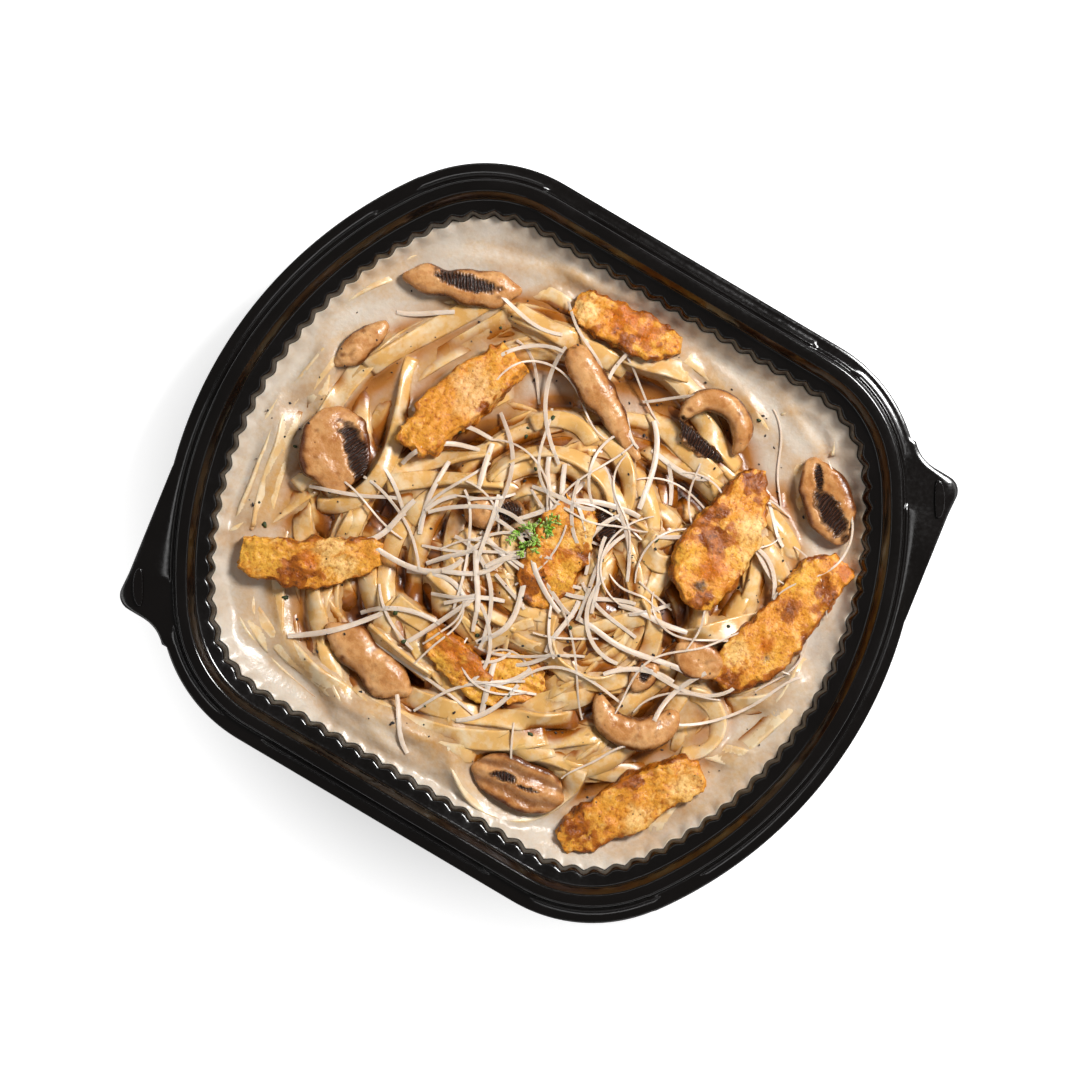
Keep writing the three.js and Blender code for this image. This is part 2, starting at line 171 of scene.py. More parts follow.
# Patches of colour on the chicken: node, kind, x, y, radius.
PATCHES = [
    ("chicken_top", "crumb", -25, 72, 5),
    ("chicken_top", "red", -13, 75, 5.5),
    ("chicken_top", "red", -5, 74, 5.5),
    ("chicken_top", "seared", -9, 69, 4),
    ("chicken_upper_left", "crust", -46, 18, 13),
    ("chicken_upper_left", "flesh", -42, 31, 8.5),
    ("chicken_upper_left", "seared", -35.5, 19, 3.5),
    ("chicken_upper_left", "seared", -37, 28, 2.5),
    ("chicken_upper_left", "crust", -36, 43, 6),
    ("chicken_centre", "red", 8, -2, 6),
    ("chicken_centre", "seared", 5, -12, 5),
    ("chicken_centre", "seared", 4, -18, 4),
    ("chicken_centre", "crumb", 12, 11, 4.5),
    ("chicken_centre", "yellow", 12, -4, 5),
    ("chicken_left", "yellow", -75, -47, 8),
    ("chicken_left", "seared", -61, -47, 6),
    ("chicken_left", "red", -60, -42, 4),
    ("chicken_left", "crumb", -56, -36, 5.5),
    ("chicken_left", "crumb", -50, -38, 5),
    ("chicken_left", "crust", -42, -30, 5),
    ("chicken_strip", "red", -6, -43, 5.5),
    ("chicken_strip", "red", 3, -45, 4.5),
    ("chicken_strip", "yellow", 8, -52, 6),
    ("chicken_strip", "yellow", -8, -49, 4),
    ("chicken_plate", "yellow", 15, -40, 9),
    ("chicken_plate", "crust", 20, -46, 5),
    ("chicken_bottom", "seared", 57, -73, 4),
    ("chicken_bottom", "crumb", 80, -44, 6),
    ("chicken_bottom", "seared", 65, -49, 3.5),
    ("chicken_bottom", "crumb", 72, -60, 5),
    ("chicken_bottom", "seared", 54, -66, 3),
    ("chicken_right_centre", "seared", 47, 30, 6.5),
    ("chicken_right_centre", "seared", 44, 37, 3.5),
    ("chicken_right_centre", "red", 51, 20, 5.5),
    ("chicken_right_centre", "seared", 49, 52, 5),
    ("chicken_right_centre", "crumb", 57, 38, 6),
    ("chicken_right_centre", "crumb", 62, 30, 6),
    ("chicken_right_centre", "yellow", 43, 20, 5),
    ("chicken_right_centre", "seared", 53, 10, 4),
    ("chicken_right_centre", "char", 51, 15, 2.2),
    ("chicken_right", "seared", 79, 22, 4),
    ("chicken_right", "seared", 86, 34, 4.5),
    ("chicken_right", "red", 79, 9, 3.5),
    ("chicken_right", "red", 88, 43, 4),
    ("chicken_right", "seared", 75, -7, 4.5),
    ("chicken_right", "crumb", 72, 2, 5),
    ("chicken_right", "yellow", 78, 33, 5),
    ("chicken_right", "char", 81, 5, 1.0),
]

# Mushrooms, straight pieces: node, x, y, heading, length, widths, sideways bow, thickness, roll, round.
MUSHROOMS = [
    ("mushroom_dark_slice", 15.6, 16.0, -53.7, 15, (4, 7, 7, 4), (0, 0), 7, 0, False),
    ("mushroom_crumb", 50.6, -19.0, 80.8, 13, (5, 8, 8, 5), (0, 0), 6.5, 0, True),
    ("mushroom_chunk", 62.6, -6.0, 6.3, 16.5, (8, 12, 12, 9), (0, 0), 7.5, 0, False),
    ("mushroom_top", -63.6, 58.4, 21.2, 38.6, (6, 10.5, 7, 12, 12, 6), (0, 0, -0.4, -0.8, 0, 0.8),
     7.5, 0, True),
    ("mushroom_small", -80.9, 25.7, 69.7, 21.5, (5, 9.5, 9.5, 6), (0, 0), 7, 0, True),
    ("mushroom_left", -71.5, -7.2, -55, 27.7, (13, 21.5, 23.6, 21.5, 12), (0, 0), 7, -8, False),
    ("mushroom_stem", -4.8, 49.0, -28.4, 42.5, (11, 12.4, 10.4, 8.4, 6, 4.5), (0, 0), 8, 0, True),
    ("mushroom_right", 72.4, 58.3, -39, 29, (9, 15.5, 16, 10), (0, 0), 8, 6, False),
    ("mushroom_centre", -17.6, 1.3, 33.4, 20, (9, 12.5, 10.5, 7), (0, 0), 8.5, 0, True),
    ("mushroom_lower_left", -28.0, -59.9, -7.4, 35, (8, 14, 11.5, 14.5, 9), (0.8, 1, 0, -1.2, -0.6),
     8, 0, True),
    ("mushroom_bottom", 33.3, -69.4, 9.3, 30.4, (12, 15, 15.5, 11), (0, 0), 8, 0, False),
]
# Mushrooms bent round an arc: node, x, y, radius, start angle, sweep, widths, thickness.
CURVED_MUSHROOMS = [
    ("mushroom_cap", 29.1, 58.4, 10, 192.6, -206, (5, 7.5, 8, 7.5, 5), 8),
    ("mushroom_crescent", 52.1, -25.7, 12.4, 208.5, 160, (6, 9.5, 10.5, 11, 8), 8.5),
]
# Gills: for each node, the dark patches that show on it, as x, y, heading, length, width and sideways bow.
GILLS = {
    "mushroom_left": [(-65.8, -5.6, -43, 20.5, 6.4, 1.6)],
    "mushroom_right": [(75.6, 55.2, -28, 17.5, 6.6, 0.0), (66.2, 63.2, -52, 9.0, 2.4, 0.0)],
    "mushroom_cap": [(27.4, 53.6, -13, 24.0, 6.5, 0.0)],
    "mushroom_top": [(-62.2, 60.4, 15, 20.0, 5.0, -0.8)],
    "mushroom_bottom": [(28.2, -69.9, 12, 8.0, 2.8, 0.3), (37.0, -69.2, 12, 7.0, 1.0, 0.0)],
    "mushroom_centre": [(-12.0, 4.6, 33, 10.0, 9.0, 0.0)],
    "mushroom_dark_slice": [(15.6, 16.0, -53, 15.0, 8.0, 0.0)],
    "mushroom_crumb": [(50.6, -19.0, 80, 5.0, 3.0, 0.0)],
}
FOLDED = ("mushroom_bottom",)
# How thick the stem stays from its foot to its tip, as shares of its thickness.
STEM_TAPER = (1, 1, 0.9, 0.76, 0.56, 0.44)


# ---------------------------------------------------------------- user settings


class AlfredoSizes(bpy.types.PropertyGroup):
    ribbon_width: bpy.props.FloatProperty(
        name="Noodle width", description="Width of one boiled noodle", default=6.9 * MM, unit="LENGTH"
    )
    ribbon_thickness: bpy.props.FloatProperty(
        name="Noodle thickness", description="Thickness of one boiled noodle", default=1.7 * MM, unit="LENGTH"
    )
    buried_ribbons: bpy.props.IntProperty(
        name="Buried noodles", description="Noodles laid under the ones on top", default=122
    )
    shaving_width: bpy.props.FloatProperty(
        name="Cheese width", description="Width of one cheese shaving", default=1.4 * MM, unit="LENGTH"
    )
    shavings: bpy.props.IntProperty(
        name="Cheese shavings", description="Number of cheese shavings", default=124
    )
    cheese_curls: bpy.props.IntProperty(name="Cheese curls", description="Number of fine curls", default=24)
    herb_flakes: bpy.props.IntProperty(name="Herb flakes", description="Number of dried flakes", default=40)
    thyme_stems: bpy.props.IntProperty(name="Thyme stems", description="Stems in the sprig", default=12)
    pepper_specks: bpy.props.IntProperty(name="Pepper", description="Number of pepper specks", default=300)
    sheet_thickness: bpy.props.FloatProperty(
        name="Tray sheet", description="Thickness of the tray's plastic", default=0.75 * MM, unit="LENGTH"
    )


def colour_setting(label, words, value):
    return bpy.props.FloatVectorProperty(
        name=label, description=words, subtype="COLOR", size=4, min=0.0, max=1.0, default=(*value, 1.0)
    )


def srgb(r, g, b):
    """Display colour, 0 to 255, as the linear colour that a shader takes."""
    return tuple(c / 3294.6 if c <= 10.3 else ((c / 255 + 0.055) / 1.055) ** 2.4 for c in (r, g, b))


class AlfredoColours(bpy.types.PropertyGroup):
    plastic: colour_setting("Tray", "Black plastic of the tray", srgb(8, 6, 5))
    sauce: colour_setting("Cream", "Cream sauce where it lies thick", srgb(199, 187, 172))
    pasta: colour_setting("Pasta", "Boiled noodle", srgb(220, 176, 108))
    # Painted shade: the dark amber that stands in for shade deep in the gaps between noodles, used on the
    # noodles and on the cream.
    pasta_gap_shade: colour_setting("Pasta in the gaps", "Noodle deep between others", srgb(88, 42, 4))
    cheese: colour_setting("Cheese", "Shaved hard cheese", srgb(216, 196, 178))
    crust: colour_setting("Crust", "Golden grilled chicken", srgb(218, 148, 52))
    seared: colour_setting("Seared crust", "Browned chicken", srgb(118, 54, 4))
    flesh: colour_setting("Chicken flesh", "Pale cut face of the chicken", srgb(224, 178, 118))
    mushroom: colour_setting("Mushroom", "Cut face of a fried mushroom", srgb(186, 130, 76))
    mushroom_skin: colour_setting("Mushroom skin", "Browned skin of the cap", srgb(92, 48, 18))
    gills: colour_setting("Gills", "Dark gills under the cap", srgb(36, 20, 13))
    herb: colour_setting("Herb", "Green thyme", srgb(104, 164, 22))


def sizes():
    return bpy.context.scene.alfredo_sizes


def colours():
    return bpy.context.scene.alfredo_colours


# ---------------------------------------------------------------- outline of the tray


def outline_parts():
    """Arcs and flats of the outline at the flute line, anticlockwise from the +X side."""
    end_centre = HALF_LENGTH - END_RADIUS
    turn = math.atan2(CORNER_Y, CORNER_X - end_centre)
    corner = CORNER_RADIUS - FLUTE_LINE
    end = END_RADIUS - FLUTE_LINE
    half = math.pi / 2
    arcs = [
        (end_centre, 0, end, -turn, turn),
        (CORNER_X, CORNER_Y, corner, turn, half),
        (CORNER_X, CORNER_Y, corner, half, half),
        (-CORNER_X, CORNER_Y, corner, half, math.pi - turn),
        (-end_centre, 0, end, math.pi - turn, math.pi + turn),
        (-CORNER_X, -CORNER_Y, corner, math.pi + turn, 3 * half),
        (-CORNER_X, -CORNER_Y, corner, 3 * half, 3 * half),
        (CORNER_X, -CORNER_Y, corner, 3 * half, 2 * math.pi - turn),
    ]
    return [(*a, a[2] * (a[4] - a[3]) if a[4] > a[3] else 2 * CORNER_X) for a in arcs]


def outline(count):
    """Points spread evenly round the outline and their outward normals, as an array of x, y, nx, ny."""
    parts = outline_parts()
    total = sum(p[5] for p in parts)
    rows = []
    for i in range(count):
        left = total * i / count
        k = 0
        while left > parts[k][5]:
            left -= parts[k][5]
            k += 1
        x, y, radius, start, stop, length = parts[k]
        angle = start + (stop - start) * left / length
        slide = left if start == stop else 0
        nx, ny = math.cos(angle), math.sin(angle)
        rows.append((x + radius * nx - slide * ny, y + radius * ny + slide * nx, nx, ny))
    return np.array(rows)


def inset_ring(rim, inset):
    """Ring of x, y at distances in from the flange's outer edge."""
    out = FLUTE_LINE - inset
    return rim[:, :2] + rim[:, 2:] * (out[:, None] if np.ndim(out) else out)


RIM = outline(FLUTES * COLUMNS_PER_FLUTE)


def flute_wave():
    """In and out of the wall round the outline: broad bumps towards the food, narrow notches outwards."""
    phase = 2 * np.pi * np.arange(len(RIM)) / COLUMNS_PER_FLUTE
    return 2 * (0.5 + 0.5 * np.cos(phase)) ** 0.6 - 1


def wall_inset(z):
    return WALL_TOP_INSET + (WALL_TOP_Z - z) * WALL_DRAFT


def tab_reach():
    """How far the two tabs carry each column out beyond the flange."""
    tip_x, tip_y, tip_r = TAB_TIP
    edge = [TAB_START, TAB_SHOULDER]
    for angle in np.linspace(1.06 * math.pi, 1.5 * math.pi, 9):
        edge.append((tip_x + tip_r * math.cos(angle), tip_y + tip_r * math.sin(angle)))
    edge.append(TAB_END)
    first, pull, last = (np.array(point) for point in (TAB_END, TAB_PULL, TAB_ROOT))
    for t in np.linspace(0.2, 1, 5):
        edge.append(tuple((1 - t) ** 2 * first + 2 * t * (1 - t) * pull + t * t * last))
    edge = np.array(edge)
    reach = np.zeros(len(RIM))
    base = inset_ring(RIM, 0.0)
    for turned in (1, -1):
        line = edge * turned
        for a, b in zip(line[:-1], line[1:]):
            step = b - a
            cross = RIM[:, 2] * step[1] - RIM[:, 3] * step[0]
            cross = np.where(np.abs(cross) < 1e-9, 1e-9, cross)
            gap = a - base
            out = (gap[:, 0] * step[1] - gap[:, 1] * step[0]) / cross
            share = (gap[:, 0] * RIM[:, 3] - gap[:, 1] * RIM[:, 2]) / cross
            hit = (share >= 0) & (share <= 1) & (out > 0) & (out < TAB_REACH)
            reach = np.maximum(reach, np.where(hit, out, 0))
    return reach


# ---------------------------------------------------------------- mesh helpers


def make_object(name, bm, material, smooth=True):
    """Turns a bmesh in millimetres into an object in metres."""
    bmesh.ops.scale(bm, vec=(MM, MM, MM), verts=bm.verts)
    mesh = bpy.data.meshes.new(name)
    bm.to_mesh(mesh)
    bm.free()
    if smooth:
        mesh.shade_smooth()
    mesh.materials.append(material)
    obj = bpy.data.objects.new(name, mesh)
    bpy.context.scene.collection.objects.link(obj)
    return obj


def add_into(target, piece):
    """Adds one small bmesh to a larger one and frees it."""
    mesh = bpy.data.meshes.new("part")
    piece.to_mesh(mesh)
    piece.free()
    target.from_mesh(mesh)
    bpy.data.meshes.remove(mesh)


def coordinates(bm):
    return np.array([v.co[:] for v in bm.verts])


def points_of(obj):
    """Points of a finished object, in millimetres."""
    flat = np.empty(len(obj.data.vertices) * 3, np.float32)
    obj.data.vertices.foreach_get("co", flat)
    return flat.reshape(-1, 3) / MM


def set_coordinates(bm, points):
    for vert, point in zip(bm.verts, points):
        vert.co = point


def extruded_rings(rings):
    """Skin drawn from ring to ring of x, y, z points by extruding the open edge, closed at the last."""
    bm = bmesh.new()
    start = bmesh.ops.create_circle(bm, segments=len(rings[0]), radius=1.0)["verts"]
    loop = sorted(start, key=lambda v: math.atan2(v.co.y, v.co.x) % (2 * math.pi))
    for vert, point in zip(loop, rings[0]):
        vert.co = point
    edges = list(bm.edges)
    for ring in rings[1:]:
        grown = bmesh.ops.extrude_edge_only(bm, edges=edges)["geom"]
        edges = [g for g in grown if isinstance(g, bmesh.types.BMEdge) and g.is_boundary]
        fresh = {g for g in grown if isinstance(g, bmesh.types.BMVert)}
        loop = [
            next(e.other_vert(vert) for e in vert.link_edges if e.other_vert(vert) in fresh) for vert in loop
        ]
        for vert, point in zip(loop, ring):
            vert.co = point
    bmesh.ops.edgeloop_fill(bm, edges=edges)
    return bm


def swept(section, frames, cup=0.0):
    """A flat section, cupped a little, carried along a list of frames and closed at both ends."""
    bm = bmesh.new()
    bmesh.ops.create_circle(bm, cap_ends=True, segments=section, radius=1.0)
    for vert in bm.verts:
        vert.co.x = math.copysign(abs(vert.co.x) ** 0.4, vert.co.x)
        vert.co.y = math.copysign(abs(vert.co.y) ** 0.42, vert.co.y) + cup * (vert.co.x**2 - 0.4)
    bmesh.ops.transform(bm, matrix=frames[0], verts=bm.verts)
    edges = list(bm.edges)
    for before, after in zip(frames[:-1], frames[1:]):
        grown = bmesh.ops.extrude_edge_only(bm, edges=edges)["geom"]
        edges = [g for g in grown if isinstance(g, bmesh.types.BMEdge) and g.is_boundary]
        fresh = [g for g in grown if isinstance(g, bmesh.types.BMVert)]
        bmesh.ops.transform(bm, matrix=after @ before.inverted(), verts=fresh)
    bmesh.ops.edgeloop_fill(bm, edges=edges)
    bmesh.ops.recalc_face_normals(bm, faces=bm.faces)
    return bm


def spread(values, share):
    """Value of a list of sizes spread evenly from one end to the other."""
    place = np.clip(share, 0, 1) * (len(values) - 1)
    low = np.minimum(len(values) - 2, np.floor(place).astype(int))
    blend = (1 - np.cos(np.pi * (place - low))) / 2
    values = np.array(values, float)
    return values[low] + (values[low + 1] - values[low]) * blend


def wobble(points, scale, seed=0.0):
    """Smooth noise, -1 to 1, at each x, y, z point."""
    shift = Vector((seed * 7.1, seed * 3.7, seed * 5.3))
    return np.array([noise.noise(Vector(p) / scale + shift) for p in points])


def paint(mesh, name, values):
    """Stores a number or a colour for each corner point of a mesh."""
    values = np.asarray(values, float)
    if values.ndim == 1:
        layer = mesh.attributes.new(name, "FLOAT", "POINT")
        layer.data.foreach_set("value", values.astype(np.float32))
    else:
        layer = mesh.attributes.new(name, "FLOAT_COLOR", "POINT")
        rgba = np.ones((len(values), 4), np.float32)
        rgba[:, :3] = values
        layer.data.foreach_set("color", rgba.ravel())


# ---------------------------------------------------------------- heights of what lies in the tray


class Relief:
    """Height of the food's surface on a square grid over the tray, in millimetres."""

    def __init__(self, start):
        nx = int(2 * RELIEF_HALF[0] / RELIEF_CELL) + 1
        ny = int(2 * RELIEF_HALF[1] / RELIEF_CELL) + 1
        self.x = np.linspace(-RELIEF_HALF[0], RELIEF_HALF[0], nx)
        self.y = np.linspace(-RELIEF_HALF[1], RELIEF_HALF[1], ny)
        self.grid = start(self.x[None, :], self.y[:, None]) + np.zeros((ny, nx))

    def at(self, x, y):
        fx = np.clip((np.asarray(x) + RELIEF_HALF[0]) / RELIEF_CELL, 0, len(self.x) - 1.001)
        fy = np.clip((np.asarray(y) + RELIEF_HALF[1]) / RELIEF_CELL, 0, len(self.y) - 1.001)
        ix, iy = fx.astype(int), fy.astype(int)
        fx, fy = fx - ix, fy - iy
        g = self.grid
        low = g[iy, ix] * (1 - fx) + g[iy, ix + 1] * fx
        high = g[iy + 1, ix] * (1 - fx) + g[iy + 1, ix + 1] * fx
        return low * (1 - fy) + high * fy

    def cells(self, x, y):
        """Row and column of the grid nearest to each place."""
        ix = np.clip(np.rint((x + RELIEF_HALF[0]) / RELIEF_CELL).astype(int), 0, len(self.x) - 1)
        iy = np.clip(np.rint((y + RELIEF_HALF[1]) / RELIEF_CELL).astype(int), 0, len(self.y) - 1)
        return iy, ix

    def raise_to(self, x, y, z):
        np.maximum.at(self.grid, self.cells(x, y), z)

    def lower_to(self, x, y, z):
        np.minimum.at(self.grid, self.cells(x, y), z)

    def blurred(self, radius):
        """Copy with its heights averaged over a soft spot of this radius."""
        reach = max(1, int(3 * radius / RELIEF_CELL))
        steps = np.arange(-reach, reach + 1) * RELIEF_CELL
        weights = np.exp(-0.5 * (steps / radius) ** 2)
        weights /= weights.sum()
        out = self.grid
        for axis in (0, 1):
            pad = [(reach, reach) if a == axis else (0, 0) for a in (0, 1)]
            wide = np.pad(out, pad, mode="edge")
            out = sum(w * np.take(wide, range(i, i + out.shape[axis]), axis) for i, w in enumerate(weights))
        return relief_of(out)


def relief_of(grid):
    """Height map made straight from a grid of heights."""
    made = Relief(lambda x, y: 0)
    made.grid = grid
    return made


def mound(x, y):
    """Height of the heap's rounded top."""
    share = np.minimum(1, np.hypot(x / HEAP_REACH[0], y / HEAP_REACH[1]))
    return HEAP_EDGE + HEAP_CROWN * (1 - share**2)


def room(x, y):
    """How far a place lies inside the flute line, as a share of the way to the middle."""
    px = np.maximum(0, np.abs(x) - ROOM_CORE)
    py = np.maximum(0, np.abs(y) - ROOM_CORE)
    return 1 - np.hypot(px / ROOM_REACH[0], py / ROOM_REACH[1])


def course(start_x, start_y, heading, length, bends, step=COURSE_STEP):
    """Line in the plane whose bend changes evenly between the bends given, degrees per 10 mm."""
    count = max(4, int(length / step) + 1)
    along = np.linspace(0, length, count)
    bend = np.radians(np.interp(along, np.linspace(0, length, len(bends)), bends)) / 10
    turn = np.radians(heading) + np.concatenate([[0], np.cumsum((bend[1:] + bend[:-1]) / 2 * np.diff(along))])
    dx = (np.cos(turn[1:]) + np.cos(turn[:-1])) / 2 * np.diff(along)
    dy = (np.sin(turn[1:]) + np.sin(turn[:-1])) / 2 * np.diff(along)
    x = start_x + np.concatenate([[0], np.cumsum(dx)])
    y = start_y + np.concatenate([[0], np.cumsum(dy)])
    return x, y, turn


def smoothed(values, rounds):
    out = values.copy()
    for _ in range(rounds):
        out[1:-1] = (out[:-2] + 2 * out[1:-1] + out[2:]) / 4
        out[0] = (out[0] + out[1]) / 2
        out[-1] = (out[-1] + out[-2]) / 2
    return out


def laid(line, width, thickness, relief, cap, stiffness, sink=0.0):
    """Lets a strip down on what lies there: returns its heights and how far it leans sideways."""
    x, y, turn = line
    side_x, side_y = -np.sin(turn), np.cos(turn)
    offsets = np.linspace(-0.42, 0.42, 5) * width
    under = np.array([relief.at(x + side_x * o, y + side_y * o) for o in offsets])
    contact = 0.65 * under.max(0) + 0.35 * under.mean(0) + thickness / 2 - sink
    z = contact.copy()
    for _ in range(stiffness):
        level = z.copy()
        level[1:-1] = (z[:-2] + z[2:]) / 2
        z = np.maximum(contact, level)
    if cap is not None:
        z = np.minimum(z, cap.at(x, y))
    z = smoothed(z, 4)
    lean = np.clip(np.arctan2(under[4] - under[0], 0.84 * width), -0.5, 0.5)
    return z, smoothed(lean, 6)


def held_off_wall(points):
    """Presses any points that reach past the fluted wall back against its inner face."""
    beside = np.flatnonzero(room(points[:, 0], points[:, 1]) < 0.16)
    wave = flute_wave()
    out = points.copy()
    for part in np.array_split(beside, max(1, len(beside) // 4000)):
        spots = points[part]
        away = np.hypot(spots[:, :1] - RIM[:, 0], spots[:, 1:2] - RIM[:, 1])
        column = away.argmin(1)
        normal = RIM[column, 2:]
        inset = FLUTE_LINE - ((spots[:, :2] - RIM[column, :2]) * normal).sum(1)
        least = wall_inset(np.clip(spots[:, 2], 5, WALL_TOP_Z)) + FLUTE_HEIGHT * wave[column] + 0.2
        out[part, :2] -= normal * np.maximum(0, least - inset)[:, None]
    return out


def press_in(bm):
    set_coordinates(bm, held_off_wall(coordinates(bm)))


def relaxed(z, lean, rng, twist, dive):
    """Adds a slow twist to a laid noodle and lets its two ends dip under the rest."""
    along = np.arange(len(z)) * COURSE_STEP
    wave = rng.uniform(24, 60)
    lean = lean + twist * np.sin(2 * np.pi * along / wave + rng.uniform(0, 6.3))
    to_end = np.minimum(along, along[-1] - along)
    return z - dive * np.exp(-to_end / 4.0), lean


def stamp(line, z, lean, width, thickness, relief):
    """Marks a strip's top on the relief."""
    x, y, turn = line
    side_x, side_y = -np.sin(turn), np.cos(turn)
    flat = np.cos(lean)
    for o in np.linspace(-0.5, 0.5, max(3, int(width / 0.45))) * width:
        places = (x + side_x * o * flat, y + side_y * o * flat, z + thickness / 2 + o * np.sin(lean))
        relief.raise_to(*places)
        relief.raise_to(*((values[:-1] + values[1:]) / 2 for values in places))


def strip_frames(line, z, lean, width, thickness, every=2, taper=0.0):
    """Frames that carry a strip's section along its course."""
    x, y, turn = line
    picks = list(range(0, len(x) - 1, every)) + [len(x) - 1]
    frames = []
    for n, i in enumerate(picks):
        a, b = max(0, i - 1), min(len(x) - 1, i + 1)
        tangent = Vector((x[b] - x[a], y[b] - y[a], z[b] - z[a])).normalized()
        side = Vector((-math.sin(turn[i]), math.cos(turn[i]), 0))
        up = tangent.cross(side).normalized()
        side = up.cross(tangent).normalized()
        tilt = Matrix.Rotation(lean[i], 3, tangent)
        side, up = tilt @ side, tilt @ up
        share = n / max(1, len(picks) - 1)
        narrow = 1 - taper * abs(2 * share - 1) ** 3
        basis = Matrix((side * width / 2 * narrow, up * thickness / 2 * narrow, tangent))
        frames.append(Matrix.Translation((x[i], y[i], z[i])) @ basis.transposed().to_4x4())
    return frames


# ---------------------------------------------------------------- materials


# Places of the colour sockets on a mix node, which holds the same names for several kinds of value.
MIX_SHARE, MIX_FIRST, MIX_SECOND, MIX_RESULT = 0, 6, 7, 2


class Finish:
    """Small help for building one node material."""

    def __init__(self, name):
        self.material = bpy.data.materials.new(name)
        self.material.use_nodes = True
        self.tree = self.material.node_tree
        self.shader = self.tree.nodes["Principled BSDF"]
        self.place = self.node("ShaderNodeTexCoord").outputs["Object"]

    def node(self, kind, **settings):
        made = self.tree.nodes.new(kind)
        for key, value in settings.items():
            setattr(made, key, value)
        return made

    def link(self, source, target):
        self.tree.links.new(source, target)

    def grain(self, scale, detail=3.0, roughness=0.55):
        """Noise at so many spots per metre."""
        made = self.node("ShaderNodeTexNoise")
        made.inputs["Scale"].default_value = scale
        made.inputs["Detail"].default_value = detail
        made.inputs["Roughness"].default_value = roughness
        self.link(self.place, made.inputs["Vector"])
        return made.outputs["Fac"]

    def cells(self, scale):
        """Distance from the nearest of scattered spots, so many per metre."""
        made = self.node("ShaderNodeTexVoronoi", feature="F1")
        made.inputs["Scale"].default_value = scale
        self.link(self.place, made.inputs["Vector"])
        return made.outputs["Distance"]

    def ramp(self, source, stops):
        made = self.node("ShaderNodeValToRGB")
        ramp = made.color_ramp
        while len(ramp.elements) < len(stops):
            ramp.elements.new(0.5)
        for element, (place, colour) in zip(ramp.elements, stops):
            element.position = place
            element.color = (*colour, 1)
        self.link(source, made.inputs["Fac"])
        return made.outputs["Color"]

    def span(self, source, low, high, to_low=0.0, to_high=1.0):
        """Turns the range low to high into another one, and keeps within it."""
        made = self.node("ShaderNodeMapRange")
        for key, value in (("From Min", low), ("From Max", high), ("To Min", to_low), ("To Max", to_high)):
            made.inputs[key].default_value = value
        self.link(source, made.inputs["Value"])
        return made.outputs["Result"]

    def mix(self, share, first, second, blend="MIX"):
        made = self.node("ShaderNodeMix", data_type="RGBA", blend_type=blend)
        for place, value in ((MIX_SHARE, share), (MIX_FIRST, first), (MIX_SECOND, second)):
            self._feed(made.inputs[place], value)
        return made.outputs[MIX_RESULT]

    def maths(self, operation, first, second=0.0):
        made = self.node("ShaderNodeMath", operation=operation)
        self._feed(made.inputs[0], first)
        self._feed(made.inputs[1], second)
        return made.outputs[0]

    def _feed(self, socket, value):
        if isinstance(value, bpy.types.NodeSocket):
            self.link(value, socket)
        elif hasattr(value, "__len__"):
            socket.default_value = (*tuple(value)[:3], 1.0)
        else:
            socket.default_value = value

    def stored(self, name, colour=False):
        made = self.node("ShaderNodeAttribute", attribute_name=name)
        return made.outputs["Color" if colour else "Fac"]

    def relief(self, height, distance, strength=1.0):
        made = self.node("ShaderNodeBump")
        made.inputs["Strength"].default_value = strength
        made.inputs["Distance"].default_value = distance
        self.link(height, made.inputs["Height"])
        self.link(made.outputs["Normal"], self.shader.inputs["Normal"])

    def set(self, **values):
        for key, value in values.items():
            self._feed(self.shader.inputs[key.replace("_", " ")], value)

    def colour(self, source):
        self._feed(self.shader.inputs["Base Color"], source)


def soft_inside(finish, weight, radius, scale):
    """Lets light sink in and come out again nearby."""
    finish.set(Subsurface_Weight=weight, Subsurface_Scale=scale)
    finish.shader.inputs["Subsurface Radius"].default_value = radius


def plastic_finish():
    f = Finish("tray_plastic")
    smear = f.grain(60, 3)
    fine = f.grain(900, 2)
    f.colour(f.mix(f.span(smear, 0.3, 0.7), colours().plastic, srgb(12, 9, 8)))
    f.set(Roughness=f.span(f.maths("ADD", smear, fine), 0.7, 1.3, 0.08, 0.2))
    f.set(Specular_IOR_Level=0.45)
    f.relief(f.grain(220, 2), 0.0001, 0.35)
    return f.material


def cream_finish():
    f = Finish("cream_sauce")
    cover = f.stored("cover")
    hollow_shade = f.stored("hollow_shade")
    patch = f.grain(95, 4)
    fine = f.grain(700, 3)
    thin = f.mix(f.span(patch, 0.3, 0.7), srgb(194, 152, 92), srgb(168, 118, 56))
    thick = f.mix(f.span(patch, 0.35, 0.65), colours().sauce, srgb(187, 171, 152))
    base = f.mix(f.span(f.maths("ADD", cover, f.span(fine, 0.3, 0.7, -0.15, 0.15)), 0.0, 1.0), thin, thick)
    # Painted shade: cream lying lower than the cream round it is painted amber, then darker still.
    base = f.mix(f.span(hollow_shade, 0.04, 0.45), base, srgb(158, 100, 40))
    f.colour(f.mix(f.span(hollow_shade, 0.4, 0.95), base, colours().pasta_gap_shade))
    f.set(Roughness=f.span(patch, 0.3, 0.7, 0.22, 0.38))
    f.set(Specular_IOR_Level=0.42)
    soft_inside(f, 0.18, (1.0, 0.65, 0.4), 0.0016)
    f.relief(f.maths("ADD", f.grain(420, 4), f.span(fine, 0, 1, 0, 0.3)), 0.0004, 0.5)
    return f.material


